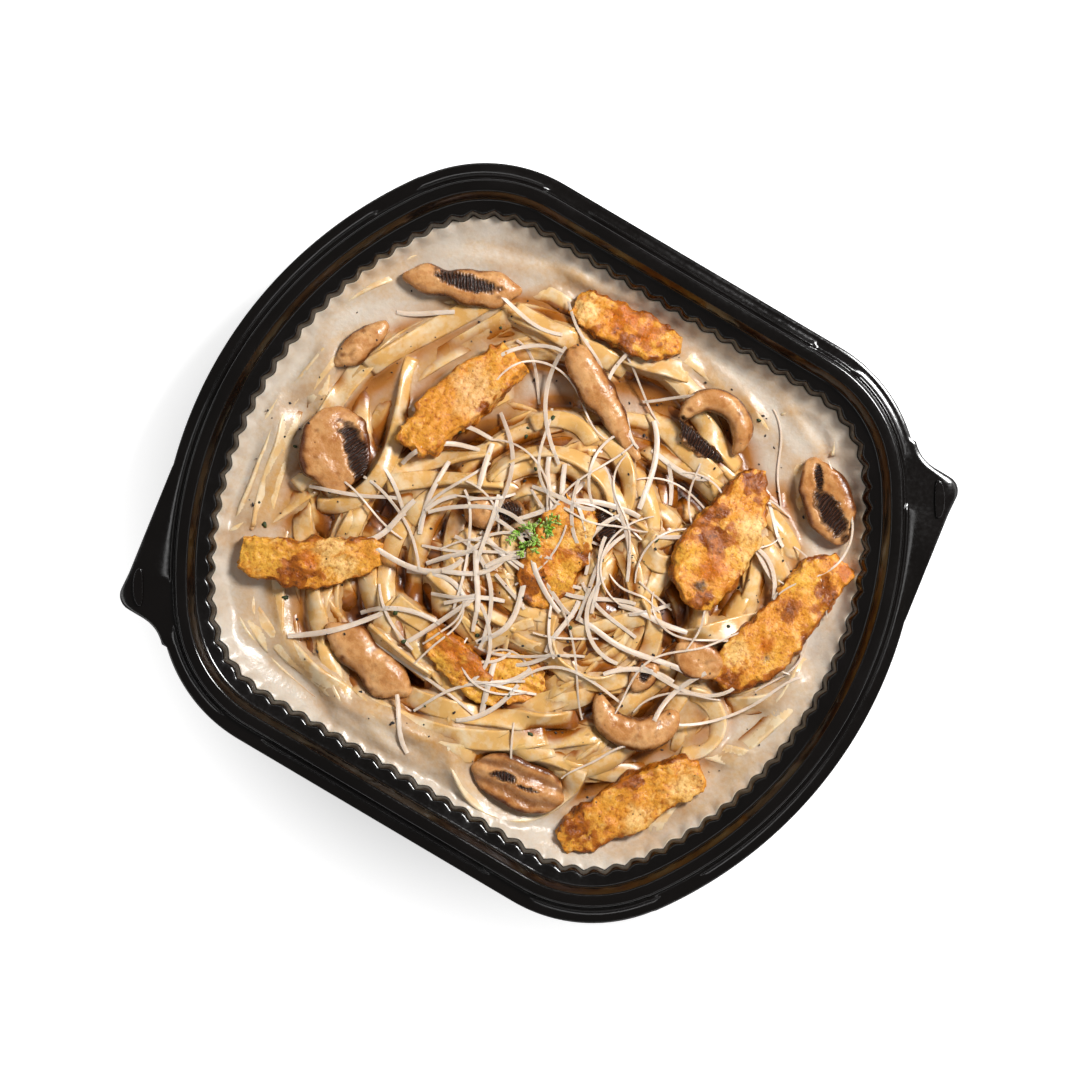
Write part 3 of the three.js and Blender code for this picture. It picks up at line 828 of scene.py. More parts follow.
def pasta_finish():
    f = Finish("pasta")
    patch = f.grain(70, 3)
    film = f.grain(210, 4)
    fine = f.grain(1500, 2)
    noodle = f.mix(f.span(patch, 0.3, 0.7), colours().pasta, srgb(198, 148, 80))
    coated = f.maths("ADD", f.span(film, 0.4, 0.68), f.stored("film"))
    creamy = f.mix(f.span(coated, 0, 1), noodle, srgb(217, 194, 158))
    # Painted shade: noodles lying lower than those round them are painted amber, then the dark gap colour.
    shade_in_gaps = f.stored("shade_in_gaps")
    shaded = f.mix(f.span(shade_in_gaps, 0.05, 0.46), creamy, srgb(144, 80, 16))
    f.colour(f.mix(f.span(shade_in_gaps, 0.5, 1.0), shaded, colours().pasta_gap_shade))
    f.set(Roughness=f.span(film, 0.3, 0.7, 0.2, 0.36))
    f.set(Specular_IOR_Level=0.5)
    soft_inside(f, 0.2, (1.0, 0.62, 0.3), 0.0016)
    f.relief(f.maths("ADD", film, f.span(fine, 0, 1, 0, 0.25)), 0.0003, 0.5)
    return f.material


def cheese_finish():
    f = Finish("shaved_cheese")
    patch = f.grain(260, 3)
    f.colour(f.mix(f.span(patch, 0.3, 0.7), colours().cheese, srgb(202, 180, 158)))
    f.set(Roughness=f.span(f.grain(900, 2), 0.3, 0.7, 0.34, 0.5))
    soft_inside(f, 0.4, (1.0, 0.75, 0.5), 0.0012)
    f.relief(f.grain(1800, 2), 0.00015, 0.4)
    return f.material


def chicken_finish():
    f = Finish("grilled_chicken")
    tone = f.stored("tone", colour=True)
    crumb = f.grain(800, 5, 0.65)
    coarse = f.grain(330, 4, 0.6)
    shade = f.ramp(crumb, [(0.32, srgb(170, 108, 56)), (0.48, srgb(242, 226, 198)), (0.62, (1.0, 1.0, 1.0))])
    base = f.mix(0.85, tone, shade, "MULTIPLY")
    burnt = f.maths("ADD", f.stored("sear"), f.span(f.maths("ADD", crumb, coarse), 0.7, 1.3, -0.35, 0.35))
    brown = f.mix(f.span(coarse, 0.4, 0.6), colours().seared, srgb(168, 92, 12))
    base = f.mix(f.span(burnt, 0.34, 0.62), base, brown)
    base = f.mix(f.span(burnt, 0.85, 1.15, 0, 0.8), base, srgb(66, 28, 12))
    specks = f.span(f.cells(560), 0.12, 0.2)
    where = f.span(f.grain(150, 2), 0.6, 0.66)
    dark = f.maths("MULTIPLY", f.maths("SUBTRACT", 1.0, specks), where)
    f.colour(f.mix(dark, base, srgb(40, 26, 12)))
    f.set(Roughness=f.span(coarse, 0.3, 0.7, 0.18, 0.45))
    f.set(Specular_IOR_Level=0.35)
    soft_inside(f, 0.05, (1.0, 0.5, 0.25), 0.001)
    f.relief(f.maths("ADD", f.span(crumb, 0, 1, 0, 0.7), coarse), 0.00055, 0.9)
    return f.material


def mushroom_finish():
    f = Finish("fried_mushroom")
    tone = f.stored("tone", colour=True)
    gill = f.stored("gill")
    fibre = f.grain(420, 4, 0.6)
    shade = f.ramp(fibre, [(0.3, srgb(206, 172, 136)), (0.5, srgb(246, 240, 230)), (0.7, (1.0, 1.0, 1.0))])
    face = f.mix(0.7, tone, shade, "MULTIPLY")
    specks = f.maths("SUBTRACT", 1.0, f.span(f.cells(420), 0.05, 0.13))
    face = f.mix(f.maths("MULTIPLY", specks, f.span(f.grain(130, 2), 0.5, 0.6)), face, srgb(74, 40, 18))
    sway = f.maths("ADD", f.stored("comb"), f.span(f.grain(240, 3), 0, 1, -1.1, 1.1))
    # The gills' own dark brown, with the grooves between the ribs painted darker as shade.
    ribs = f.maths("SINE", f.maths("MULTIPLY", sway, 2 * math.pi / GILL_PITCH))
    comb = f.mix(f.span(ribs, -0.1, 1.0), colours().gills, srgb(66, 36, 20))
    f.colour(f.mix(gill, face, comb))
    f.set(Roughness=f.span(fibre, 0.3, 0.7, 0.18, 0.36))
    soft_inside(f, 0.08, (1.0, 0.6, 0.35), 0.001)
    f.relief(f.maths("ADD", fibre, f.maths("MULTIPLY", gill, f.span(ribs, -1, 1, 0, 1.6))), 0.0005, 0.7)
    return f.material


def speck_finish(name, first, second, roughness):
    f = Finish(name)
    f.colour(f.mix(f.span(f.grain(700, 2), 0.35, 0.65), first, second))
    f.set(Roughness=f.span(f.grain(1500, 2), 0.3, 0.7, roughness - 0.1, roughness + 0.1))
    return f.material


# ---------------------------------------------------------------- tray


def tray_rings():
    """Upper face of the formed sheet: flange's edge, over the rim, down the wall, across the floor."""
    wave = flute_wave()
    reach = tab_reach()
    gap = np.zeros(len(RIM))
    edge = inset_ring(RIM, 4.0)
    for x, y in RIDGE_GAPS:
        for turned in (1, -1):
            away = np.hypot(edge[:, 0] - x * turned, edge[:, 1] - y * turned)
            gap = np.maximum(gap, np.clip(RIDGE_GAP_HALF + 0.5 - away, 0, 1))
    ridge = 1 - gap
    rings = []

    def row(inset, z, out=0.0, flute=0.0, lift=0.0):
        ring = inset_ring(RIM, inset + flute * wave - out * reach)
        rings.append(np.column_stack([ring, z + lift * ridge]))

    row(0.0, FLANGE_TOP - 0.75, out=1)
    row(0.0, FLANGE_TOP - 0.2, out=1)
    row(0.25, FLANGE_TOP, out=1)
    row(1.4, FLANGE_TOP, out=0.75)
    row(3.2, FLANGE_TOP, out=0.0)
    row(3.55, FLANGE_TOP + 0.05, lift=0.3)
    row(3.75, FLANGE_TOP + 0.1, lift=0.6)
    row(4.35, FLANGE_TOP + 0.1, lift=0.6)
    row(4.6, FLANGE_TOP + 0.1, lift=0.3)
    row(4.85, FLANGE_TOP + 0.5)
    row(5.25, RIM_TOP - 0.5)
    row(5.6, RIM_TOP - 0.1)
    row(6.1, RIM_TOP)
    row(8.5, RIM_TOP)
    row(9.0, RIM_TOP - 0.12)
    row(9.4, RIM_TOP - 0.6)
    row(10.9, RIM_TOP - 4.0)
    row(11.3, RIM_TOP - 4.6)
    row(12.0, RIM_TOP - 4.9)
    row(13.2, RIM_TOP - 5.05)
    row(13.9, RIM_TOP - 5.3, flute=0.15)
    row(14.6, RIM_TOP - 5.4, flute=0.45)
    row(15.1, WALL_TOP_Z - 0.15, flute=0.6)
    row(15.45, WALL_TOP_Z - 0.7, flute=FLUTE_HEIGHT)
    for z in (WALL_TOP_Z - 4, WALL_TOP_Z - 9, WALL_TOP_Z - 20, 7.0, 4.6):
        row(wall_inset(z), z, flute=FLUTE_HEIGHT)
    row(24.3, 2.6, flute=0.4)
    row(25.6, 1.2, flute=0.12)
    row(27.2, 0.82)
    floor = rings[-1]
    for share in (0.6, 0.2):
        rings.append(floor * (share, share, 1))
    return rings


def tab_pad(turned):
    """Raised pad on a tab, straight towards the tray and bowed outwards."""
    x, y, heading, length, width = TAB_PAD
    bm = bmesh.new()
    bmesh.ops.create_circle(bm, cap_ends=True, segments=40, radius=1.0)
    for vert in bm.verts:
        flat = 0.35 if vert.co.y > 0 else 1.0
        bow = math.sqrt(max(0.0, 1 - vert.co.x**2)) ** 0.8
        vert.co = (vert.co.x * length / 2, math.copysign(bow, vert.co.y) * width / 2 * flat, 0)
    top = bmesh.ops.extrude_face_region(bm, geom=list(bm.faces))["geom"]
    raised = [g for g in top if isinstance(g, bmesh.types.BMVert)]
    bmesh.ops.translate(bm, vec=(0, 0, PAD_HEIGHT), verts=raised)
    bmesh.ops.recalc_face_normals(bm, faces=bm.faces)
    rim_edges = [e for e in bm.edges if e.verts[0].co.z > 1 and e.verts[1].co.z > 1]
    bmesh.ops.bevel(
        bm,
        geom=rim_edges,
        offset=0.5,
        segments=3,
        profile=0.5,
        affect="EDGES",
        material=-1,
        clamp_overlap=True,
    )
    place = Matrix.Rotation(math.pi if turned else 0, 4, "Z")
    place = place @ Matrix.Translation((x, y, FLANGE_TOP - PAD_SUNK))
    bmesh.ops.transform(bm, matrix=place @ Matrix.Rotation(math.radians(heading), 4, "Z"), verts=bm.verts)
    return bm


class ALFREDO_OT_tray(bpy.types.Operator):
    """Form the black tray from one thin sheet with its fluted wall, rim, lock ridge and tabs"""

    bl_idname = "alfredo.tray"
    bl_label = "Tray"

    def execute(self, context):
        bm = extruded_rings(tray_rings())
        bmesh.ops.recalc_face_normals(bm, faces=bm.faces)
        bm.normal_update()
        middle = min(bm.faces, key=lambda f: f.calc_center_median().length)
        if middle.normal.z < 0:
            bmesh.ops.reverse_faces(bm, faces=bm.faces)
        sheet = sizes().sheet_thickness / MM
        bmesh.ops.solidify(bm, geom=list(bm.faces), thickness=sheet)
        for turned in (False, True):
            add_into(bm, tab_pad(turned))
        tray = make_object("tray_formed", bm, plastic_finish())
        for face in tray.data.polygons:
            face.use_smooth = len(face.vertices) < 10
        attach(tray, "root")
        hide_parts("tray")
        return {"FINISHED"}


# ---------------------------------------------------------------- loose pieces


def node_height(node):
    low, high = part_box(node)
    return (low[2] + high[2]) / 2 / MM


def rounded_bar(around=96, along=64):
    """Ball whose points become a bar: the poles are its ends."""
    bm = bmesh.new()
    bmesh.ops.create_uvsphere(bm, u_segments=around, v_segments=along, radius=1.0)
    return bm, coordinates(bm)


def bar_points(ball, length, widths, bows, thickness, corner, end, straight=False):
    """Moves a ball's points to a bar with these widths, and says where on it each point lies.

    corner and end are the powers of the rounded section and of the rounded ends: 2 is round, more is squarer.
    straight gives an outline with corners, as torn meat has.
    """
    spacing = 1 - 2 * np.arccos(np.clip(ball[:, 2], -1, 1)) / np.pi
    along = 0.6 * np.sin(spacing * np.pi / 2) + 0.4 * spacing
    close = np.maximum(0, 1 - np.abs(along) ** end) ** (1 / end)
    turn = np.arctan2(ball[:, 0], ball[:, 1])
    reach = (np.abs(np.cos(turn)) ** corner + np.abs(np.sin(turn)) ** corner) ** (-1 / corner)
    share = (along + 1) / 2
    side = np.sin(turn) * reach * close
    rise = np.cos(turn) * reach * close
    if straight:
        stations = [np.interp(share, np.linspace(0, 1, len(v)), v) for v in (bows, widths)]
    else:
        stations = [spread(v, share) for v in (bows, widths)]
    y = stations[0] + side * stations[1] / 2
    return np.column_stack([along * length / 2, y, rise * thickness / 2]), share, side, rise


def ragged(points, amount, scale, seed):
    """Pushes the outline in and out as seen from above."""
    flat = points * (1, 1, 0.25)
    drift = np.column_stack([wobble(flat, scale, seed + k) for k in (3, 4)])
    return points + np.column_stack([drift * amount, np.zeros(len(points))])


def near(points, x, y, radius, raggedness):
    """1 at a spot fading to 0 past its radius, with an uneven edge."""
    away = np.hypot(points[:, 0] - x, points[:, 1] - y) / radius
    return np.clip(1.9 - 1.7 * away + raggedness, 0, 1)


def turned_into_place(points, x, y, z, heading, tilt=0, roll=0):
    place = Matrix.Translation((x, y, z)) @ Matrix.Rotation(math.radians(heading), 4, "Z")
    place = place @ Matrix.Rotation(math.radians(tilt), 4, "Y") @ Matrix.Rotation(math.radians(roll), 4, "X")
    turn = np.array(place.to_3x3())
    return points @ turn.T + np.array(place.translation)


def push_out(bm, points, amounts):
    """Moves points out along the surface's own normals."""
    set_coordinates(bm, points)
    bm.normal_update()
    normals = np.array([v.normal[:] for v in bm.verts])
    return points + normals * amounts[:, None]


def blend_colours(base, other, share):
    share = np.clip(share, 0, 1)[:, None]
    return np.asarray(base) * (1 - share) + np.asarray(other) * share


class ALFREDO_OT_chicken(bpy.types.Operator):
    """Shape the grilled chicken strips with their crumbly browned crust"""

    bl_idname = "alfredo.chicken"
    bl_label = "Chicken"

    def execute(self, context):
        material = chicken_finish()
        c = colours()
        tones = {
            "crust": c.crust[:3],
            "flesh": c.flesh[:3],
            "red": srgb(204, 112, 16),
            "yellow": srgb(224, 170, 66),
            "char": srgb(22, 17, 15),
            "crumb": srgb(232, 192, 124),
        }
        for number, (node, x, y, heading, length, widths, bows, thick, tilt, roll) in enumerate(CHICKEN):
            bm, ball = rounded_bar()
            wide = [w + 1.0 for w in widths]
            points, _, side, _ = bar_points(ball, length + 1, wide, bows, thick, 7.0, 7.0, straight=True)
            points = ragged(ragged(points, 2.0, 8.0, number), 1.2, 2.6, number + 7)
            lumps = wobble(points, 5.0, number + 1) * 0.75 + wobble(points, 2.2, number + 20) * 0.45
            grain = wobble(points * (0.3, 1, 1), 1.5, number + 30) * 0.35
            crumbs = np.abs(wobble(points, 1.2, number + 40)) * 0.4
            points = push_out(bm, points, lumps - 0.5 + crumbs + grain)
            points = held_off_wall(turned_into_place(points, x, y, node_height(node), heading, tilt, roll))
            set_coordinates(bm, points)
            bmesh.ops.recalc_face_normals(bm, faces=bm.faces)
            broad = wobble(points, 9.0, number + 60)
            small = wobble(points, 3.0, number + 80)
            fine = wobble(points, 1.2, number + 90)
            colour = np.tile(tones["crust"], (len(points), 1))
            colour = blend_colours(colour, tones["yellow"], 0.2 + 1.2 * broad)
            colour = blend_colours(colour, tones["crumb"], 1.4 * fine - 0.5 - small)
            sear = 0.22 + 0.7 * small + 0.45 * broad + np.clip((np.abs(side) - 0.72) * 2.2, 0, 0.5)
            for patch, kind, px, py, radius in PATCHES:
                if patch == node:
                    spot = near(points, px, py, radius, 1.1 * small + 0.9 * fine)
                    if kind in tones:
                        colour = blend_colours(colour, tones[kind], spot * 0.85)
                    sear = np.clip(sear, 0, 1) * (1 - spot) + spot * SEAR.get(kind, 0.0)
            piece = make_object("grilled_" + node, bm, material)
            paint(piece.data, "tone", colour)
            paint(piece.data, "sear", sear)
            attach(piece, "root")
            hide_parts(node)
        return {"FINISHED"}


def gill_share(points, node):
    """How far each point lies within the dark gills of its piece, and its place along their comb."""
    share, comb = np.zeros(len(points)), np.zeros(len(points))
    for x, y, heading, length, width, bow in GILLS.get(node, ()):
        angle = math.radians(heading)
        dx, dy = points[:, 0] - x, points[:, 1] - y
        along = dx * math.cos(angle) + dy * math.sin(angle)
        across = -dx * math.sin(angle) + dy * math.cos(angle)
        across = across - bow * (1 - (2 * along / length) ** 2)
        away = np.hypot(along / (length / 2), across / (width / 2))
        patch = np.clip((1.15 - away + 0.3 * wobble(points, 1.8, 2)) * 4, 0, 1)
        share, comb = np.maximum(share, patch), np.where(patch >= share, along + 0.35 * across, comb)
    return share, comb


def mushroom_piece(number, node, bm, points, side, rise, material, name=None):
    """Finishes one mushroom: skin, cut face and gills, as small dents and painted colour."""
    c = colours()
    face, skin, pale = c.mushroom[:3], c.mushroom_skin[:3], srgb(212, 162, 108)
    gills, comb = gill_share(points, node)
    gills = gills * np.clip(rise * 2.5, 0, 1)
    fibres = wobble(points, 2.2, number + 5) * 0.22 + wobble(points, 6.5, number + 9) * 0.6
    folds = 0.5 * np.cos(side * 6.6) * (node in FOLDED)
    points = held_off_wall(push_out(bm, points, fibres + folds - gills * 0.9 + 0.1))
    set_coordinates(bm, points)
    bmesh.ops.recalc_face_normals(bm, faces=bm.faces)
    broad = wobble(points, 7.0, number + 30)
    small = wobble(points, 2.4, number + 33)
    rim = np.abs(side)
    colour = blend_colours(np.tile(face, (len(points), 1)), pale, 0.35 + 1.2 * broad + 0.5 * small)
    colour = blend_colours(colour, srgb(150, 88, 36), np.clip((rim - 0.62 + 0.3 * small) * 2.6, 0, 0.85))
    colour = blend_colours(colour, skin, np.clip((rim - 0.8 + 0.1 * small) * 10, 0, 1))
    colour = blend_colours(colour, srgb(112, 62, 26), 1.9 * small - 0.75 + 0.6 * broad)
    # Painted shade: the troughs of the folds are painted darker.
    colour = blend_colours(colour, srgb(104, 60, 32), np.clip(-folds * 1.6, 0, 0.7))
    colour = blend_colours(colour, srgb(104, 62, 38), np.clip(gills * 3, 0, 1) * (1 - gills))
    piece = make_object(name or "fried_" + node, bm, material)
    paint(piece.data, "tone", colour)
    paint(piece.data, "gill", gills)
    paint(piece.data, "comb", comb)
    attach(piece, "root")
    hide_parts(node)


class ALFREDO_OT_mushrooms(bpy.types.Operator):
    """Shape the fried mushroom slices, stems and caps"""

    bl_idname = "alfredo.mushrooms"
    bl_label = "Mushrooms"

    def execute(self, context):
        material = mushroom_finish()
        for number, row in enumerate(MUSHROOMS):
            node, x, y, heading, length, widths, bows, thick, roll, is_round = row
            bm, ball = rounded_bar()
            corner, end = (2.3, 2.6) if is_round else (5.0, 2.9)
            points, share, side, rise = bar_points(ball, length, widths, bows, thick, corner, end)
            points = ragged(points, 1.0, 9.0, number + 50)
            if node == "mushroom_stem":
                points[:, 2] *= spread(STEM_TAPER, share)
            points = turned_into_place(points, x, y, node_height(node), heading, 0, roll)
            mushroom_piece(number, node, bm, points, side, rise, material)
        for number, (node, x, y, radius, start, sweep, widths, thick) in enumerate(CURVED_MUSHROOMS):
            bm, ball = rounded_bar()
            length = radius * math.radians(abs(sweep))
            points, _, side, rise = bar_points(ball, length, widths, (0, 0), thick, 2.4, 2.8)
            turn = np.radians(start + sweep * (points[:, 0] / length + 0.5))
            out = radius - math.copysign(1, sweep) * points[:, 1]
            z = points[:, 2] + node_height(node)
            bent = np.column_stack([x + out * np.cos(turn), y + out * np.sin(turn), z])
            mushroom_piece(number + 20, node, bm, bent, side, rise, material)
        x, y, heading, length, width, _ = GILLS["mushroom_cap"][0]
        bm, ball = rounded_bar()
        widths, bows = (3, width, width, 3), (1, -0.5, -0.5, 1)
        points, _, side, rise = bar_points(ball, length - 3, widths, bows, 6.0, 3.0, 3.0)
        points = turned_into_place(points, x, y, node_height("mushroom_cap") - 0.4, heading)
        name = "fried_mushroom_cap_gills"
        mushroom_piece(30, "mushroom_cap", bm, points, side * 0, rise + 1, material, name)
        return {"FINISHED"}


# ---------------------------------------------------------------- noodles and cream


# Height maps that one operator leaves for the next: the noodles, the loose pieces, the cream, all of it.
LAID = {}


def topping_marks():
    """Top and underside of the loose pieces as height maps, read off the part's own solids."""
    tops = Relief(lambda x, y: 0)
    under = Relief(lambda x, y: mound(x, y) + 2.2)
    for node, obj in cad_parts.items():
        if not node.startswith(("chicken", "mushroom")):
            continue
        low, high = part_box(node)
        middle = (low[2] + high[2]) / 2 / MM
        bm = bmesh.new()
        bm.from_mesh(obj.data)
        bmesh.ops.remove_doubles(bm, verts=bm.verts, dist=1e-7)
        bmesh.ops.subdivide_edges(bm, edges=bm.edges, cuts=7, use_grid_fill=True)
        points = coordinates(bm) / MM
        bm.free()
        upper = points[points[:, 2] >= middle - 0.5]
        tops.raise_to(upper[:, 0], upper[:, 1], upper[:, 2])
        underside = np.full(len(points), low[2] / MM + 2.2)
        for dx in (-0.5, 0, 0.5):
            for dy in (-0.5, 0, 0.5):
                under.lower_to(points[:, 0] + dx, points[:, 1] + dy, underside)
    return tops, under


def top_courses(rng):
    """Lines of the noodles on top, each varied a little, and whether each one lies open."""
    lines = []
    for is_open, runs in ((False, COATED_RUNS), (True, OPEN_RUNS)):
        for count, apart, x, y, heading, length, *bends in runs:
            side = math.radians(heading + 90)
            for k in range(count):
                start_x = x + apart * k * math.cos(side) + rng.uniform(-1, 1)
                start_y = y + apart * k * math.sin(side) + rng.uniform(-1, 1)
                turned = heading + rng.uniform(-4, 4)
                long = length * rng.uniform(0.92, 1.08)
                varied = [bend + rng.uniform(-3, 3) for bend in bends]
                lines.append((is_open, course(start_x, start_y, turned, long, varied)))
    for x, y, radius, start, sweep in LOOPS:
        angle, sense = math.radians(start), math.copysign(1, sweep)
        bend = sense * math.degrees(10 / radius)
        bends = [bend * rng.uniform(0.88, 1.12) for _ in range(3)]
        start_x, start_y = x + radius * math.cos(angle), y + radius * math.sin(angle)
        long = radius * math.radians(abs(sweep))
        lines.append((True, course(start_x, start_y, start + 90 * sense, long, bends)))
    return lines


class ALFREDO_OT_noodles(bpy.types.Operator):
    """Lay the buried noodles, then the ones on top, each let down on those below"""

    bl_idname = "alfredo.noodles"
    bl_label = "Noodles"

    def execute(self, context):
        s = sizes()
        width, thickness = s.ribbon_width / MM, s.ribbon_thickness / MM
        rng = random.Random(11)
        tops, under = topping_marks()
        low_cap = relief_of(under.grid - 1.3)
        inside = np.clip(room(under.x[None, :], under.y[:, None]) / 0.35, 0, 1)
        top_cap = relief_of(under.grid - 1.1 * (1 - inside))
        relief = Relief(lambda x, y: mound(x, y) - 2.3 - 5.6 * np.clip(room(x, y) / 0.6, 0, 1))
        buried = bmesh.new()
        for _ in range(s.buried_ribbons):
            angle = rng.uniform(0, 2 * math.pi)
            share = math.sqrt(rng.uniform(0.0, 0.97))
            x = BURIED_REACH[0] * share * math.cos(angle)
            y = BURIED_REACH[1] * share * math.sin(angle)
            from_x, from_y = x - HEAP_MIDDLE[0], y - HEAP_MIDDLE[1]
            round_turn = math.degrees(math.atan2(from_y, from_x)) + 90
            heading = round_turn + rng.gauss(0, 34 - 18 * share) + (180 if rng.random() < 0.5 else 0)
            length = rng.uniform(60, 150)
            reach = max(12.0, math.hypot(from_x, from_y))
            sense = 1 if math.cos(math.radians(heading - round_turn)) > 0 else -1
            bend = sense * math.degrees(10 / reach)
            bends = [bend + rng.gauss(0, 8) for _ in range(4)]
            line = kept_inside(x, y, heading, length, bends)
            if line is None:
                continue
            wide = width * rng.uniform(0.9, 1.04)
            z, lean = laid(line, wide, thickness, relief, low_cap, 10, sink=0.35)
            z, lean = relaxed(z, lean, rng, 0.22, 3.0)
            stamp(line, z, lean, wide, thickness, relief)
            add_into(buried, swept(8, strip_frames(line, z, lean, wide, thickness), rng.uniform(-1, 1)))
        shown = bmesh.new()
        for is_open, line in top_courses(rng):
            wide = width * rng.uniform(0.94, 1.04)
            wide *= 0.85 if is_open else 1
            z, lean = laid(line, wide, thickness, relief, top_cap, 30, sink=0.2 if is_open else 0.5)
            z, lean = relaxed(z, lean, rng, 0.15 if is_open else 0.3, 0.4 if is_open else 1.6)
            if is_open:
                lean = lean + rng.choice((-1, 1)) * rng.uniform(0.2, 0.7)
            stamp(line, z, lean, wide, thickness, relief)
            frames = strip_frames(line, z, lean, wide, thickness, every=1)
            add_into(shown, swept(12, frames, rng.uniform(-1.1, 1.1)))
        LAID["noodles"] = relief
        LAID["toppings"] = tops
        material = pasta_finish()
        for name, bm in (("fettuccine_buried", buried), ("fettuccine_top", shown)):
            press_in(bm)
            piece = make_object(name, bm, material)
            co = points_of(piece)
            # Painted shade in the gaps: how far each point lies below the noodles round it, close by and
            # further out.
            wide = relief.blurred(5.0).at(co[:, 0], co[:, 1]) - co[:, 2]
            close = relief.blurred(1.8).at(co[:, 0], co[:, 1]) - co[:, 2]
            shade_in_gaps = 0.8 * np.clip(close / 0.8, 0, 1) + np.clip((wide + 0.6) / 2.2, 0, 1)
            paint(piece.data, "shade_in_gaps", np.clip(shade_in_gaps, 0, 1))
            paint(piece.data, "film", np.clip(0.85 - room(co[:, 0], co[:, 1]) / 0.45, -0.15, 0.8))
            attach(piece, "root")
            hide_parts("fettuccine")
        return {"FINISHED"}


def kept_inside(x, y, heading, length, bends):
    """A course that turns back towards the middle near the wall, or None if it starts outside."""
    if room(x, y) < 0.06:
        return None
    count = int(length / COURSE_STEP) + 1
    xs, ys, turns = [x], [y], [math.radians(heading)]
    for i in range(count):
        bend = math.radians(np.interp(i / count, np.linspace(0, 1, len(bends)), bends)) / 10
        turn = turns[-1]
        left = room(xs[-1], ys[-1])
        if left < 0.13:
            inward = math.atan2(-ys[-1], -xs[-1])
            away = math.sin(inward - turn)
            bend += math.copysign(0.08 * (0.13 - left) / 0.13, away)
        turn += bend * COURSE_STEP
        if left < 0.03:
            break
        xs.append(xs[-1] + COURSE_STEP * math.cos(turn))
        ys.append(ys[-1] + COURSE_STEP * math.sin(turn))
        turns.append(turn)
    if len(xs) < 12:
        return None
    return np.array(xs), np.array(ys), np.array(turns)


def noise_grid(relief, every, value):
    """Values worked out at every so many cells of a relief and spread over the cells between."""
    rows = np.array([[value(a, b) for a in relief.x[::every]] for b in relief.y[::every]])
    return np.repeat(np.repeat(rows, every, 0), every, 1)[: len(relief.y), : len(relief.x)]


def streaks(relief):
    """Soft ridges, 0 to 1, that run round the heap as noodles just under the cream do."""

    def ridge(a, b):
        across, up = a - HEAP_MIDDLE[0], b - HEAP_MIDDLE[1]
        turn, reach = math.atan2(up, across), math.hypot(across / 1.2, up)
        return noise.noise(Vector((2.4 * math.cos(turn), 2.4 * math.sin(turn), reach / 5.0)))

    return relief_of(np.clip(3.0 * noise_grid(relief, 2, ridge), 0, 1)).blurred(0.7).grid


def swirled(a, b):
    return noise.noise(Vector((a / 17, b / 17, 3.3))) + 0.6 * noise.noise(Vector((a / 8, b / 8, 7)))


def cream_surface():
    """Height of the cream: a pool at the wall and a coat on the noodles that thins towards the middle."""
    noodles = LAID["noodles"]
    x, y = noodles.x[None, :], noodles.y[:, None]
    inner = np.clip(room(x, y) / 0.55, 0, 1)
    soft = noodles.blurred(0.8).grid * inner + noodles.blurred(1.2).grid * (1 - inner)
    swirl = relief_of(noise_grid(noodles, 6, swirled)).blurred(2.5).grid
    coat = 0.75 - 1.1 * inner**0.8 + 0.6 * swirl
    level = SAUCE_LEVEL - 0.9 - 3.3 * inner**1.2 + 1.3 * swirl
    coated = soft + coat
    blend = 0.9
    top = np.maximum(level, coated) + blend * np.exp(-np.abs(level - coated) / blend) * 0.35
    ridges = streaks(noodles) * np.clip(1.25 - inner, 0, 1)
    top = np.maximum(top + 0.9 * ridges, noodles.grid + 0.5 - 1.6 * inner)
    edge = np.clip(room(x, y) / 0.12, 0, 1)
    top = top * edge + (SAUCE_LEVEL + 1.8) * (1 - edge)
    surface = relief_of(top).blurred(0.55)
    cover = np.clip((surface.grid - noodles.grid) / 1.2, 0, 1)
    cover = np.maximum(cover, np.clip(0.85 - 1.2 * inner, 0, 1)) - 0.45 * ridges * edge
    # Painted shade for the hollows: how far the cream lies below the cream round it, kept to the inner part.
    hollow_shade = np.clip((surface.blurred(5.0).grid - surface.grid - 0.1) / 2.0, 0, 0.95)
    hollow_shade = hollow_shade * np.clip(3 * inner - 1.2, 0, 1)
    return surface, relief_of(cover).blurred(0.8), relief_of(hollow_shade)


class ALFREDO_OT_cream(bpy.types.Operator):
    """Pour the cream: one closed body from the floor up to the coated surface of the noodles"""

    bl_idname = "alfredo.cream"
    bl_label = "Cream sauce"

    def execute(self, context):
        surface, cover, hollow_shade = cream_surface()
        LAID["cream"] = surface
        wave = flute_wave()
        rings = []

        def row(inset, z, flute=0.0):
            rings.append(np.column_stack([inset_ring(RIM, inset + flute * wave), np.full(len(RIM), z)]))

        row(29.0, 1.6)
        row(wall_inset(5.0) + 0.5, 5.2, FLUTE_HEIGHT)
        edge_inset = wall_inset(CREAM_EDGE) + 0.12
        row(edge_inset, CREAM_EDGE, FLUTE_HEIGHT)
        count = 92
        for i in range(count):
            fluted = FLUTE_HEIGHT * wave * max(0.0, 1 - i / 3)
            ring = inset_ring(RIM, edge_inset + 0.35 + fluted) * (1 - i / count)
            z = surface.at(ring[:, 0], ring[:, 1])
            settle = math.sin(min(1.0, (i + 0.3) / 4) * math.pi / 2)
            z = z * settle + CREAM_EDGE * (1 - settle)
            rings.append(np.column_stack([ring, z]))
        bm = extruded_rings(rings)
        bottom = [e for e in bm.edges if e.is_boundary]
        bmesh.ops.edgeloop_fill(bm, edges=bottom)
        bmesh.ops.recalc_face_normals(bm, faces=bm.faces)
        cream = make_object("cream_poured", bm, cream_finish())
        co = points_of(cream)
        paint(cream.data, "cover", cover.at(co[:, 0], co[:, 1]))
        paint(cream.data, "hollow_shade", hollow_shade.at(co[:, 0], co[:, 1]))
        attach(cream, "root")
        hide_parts("cream_sauce")
        return {"FINISHED"}


# ---------------------------------------------------------------- cheese, herbs and pepper


def open_surface():
    """Everything that lies in the tray so far, as one height map."""
    return relief_of(np.maximum.reduce([LAID[name].grid for name in ("noodles", "cream", "toppings")]))


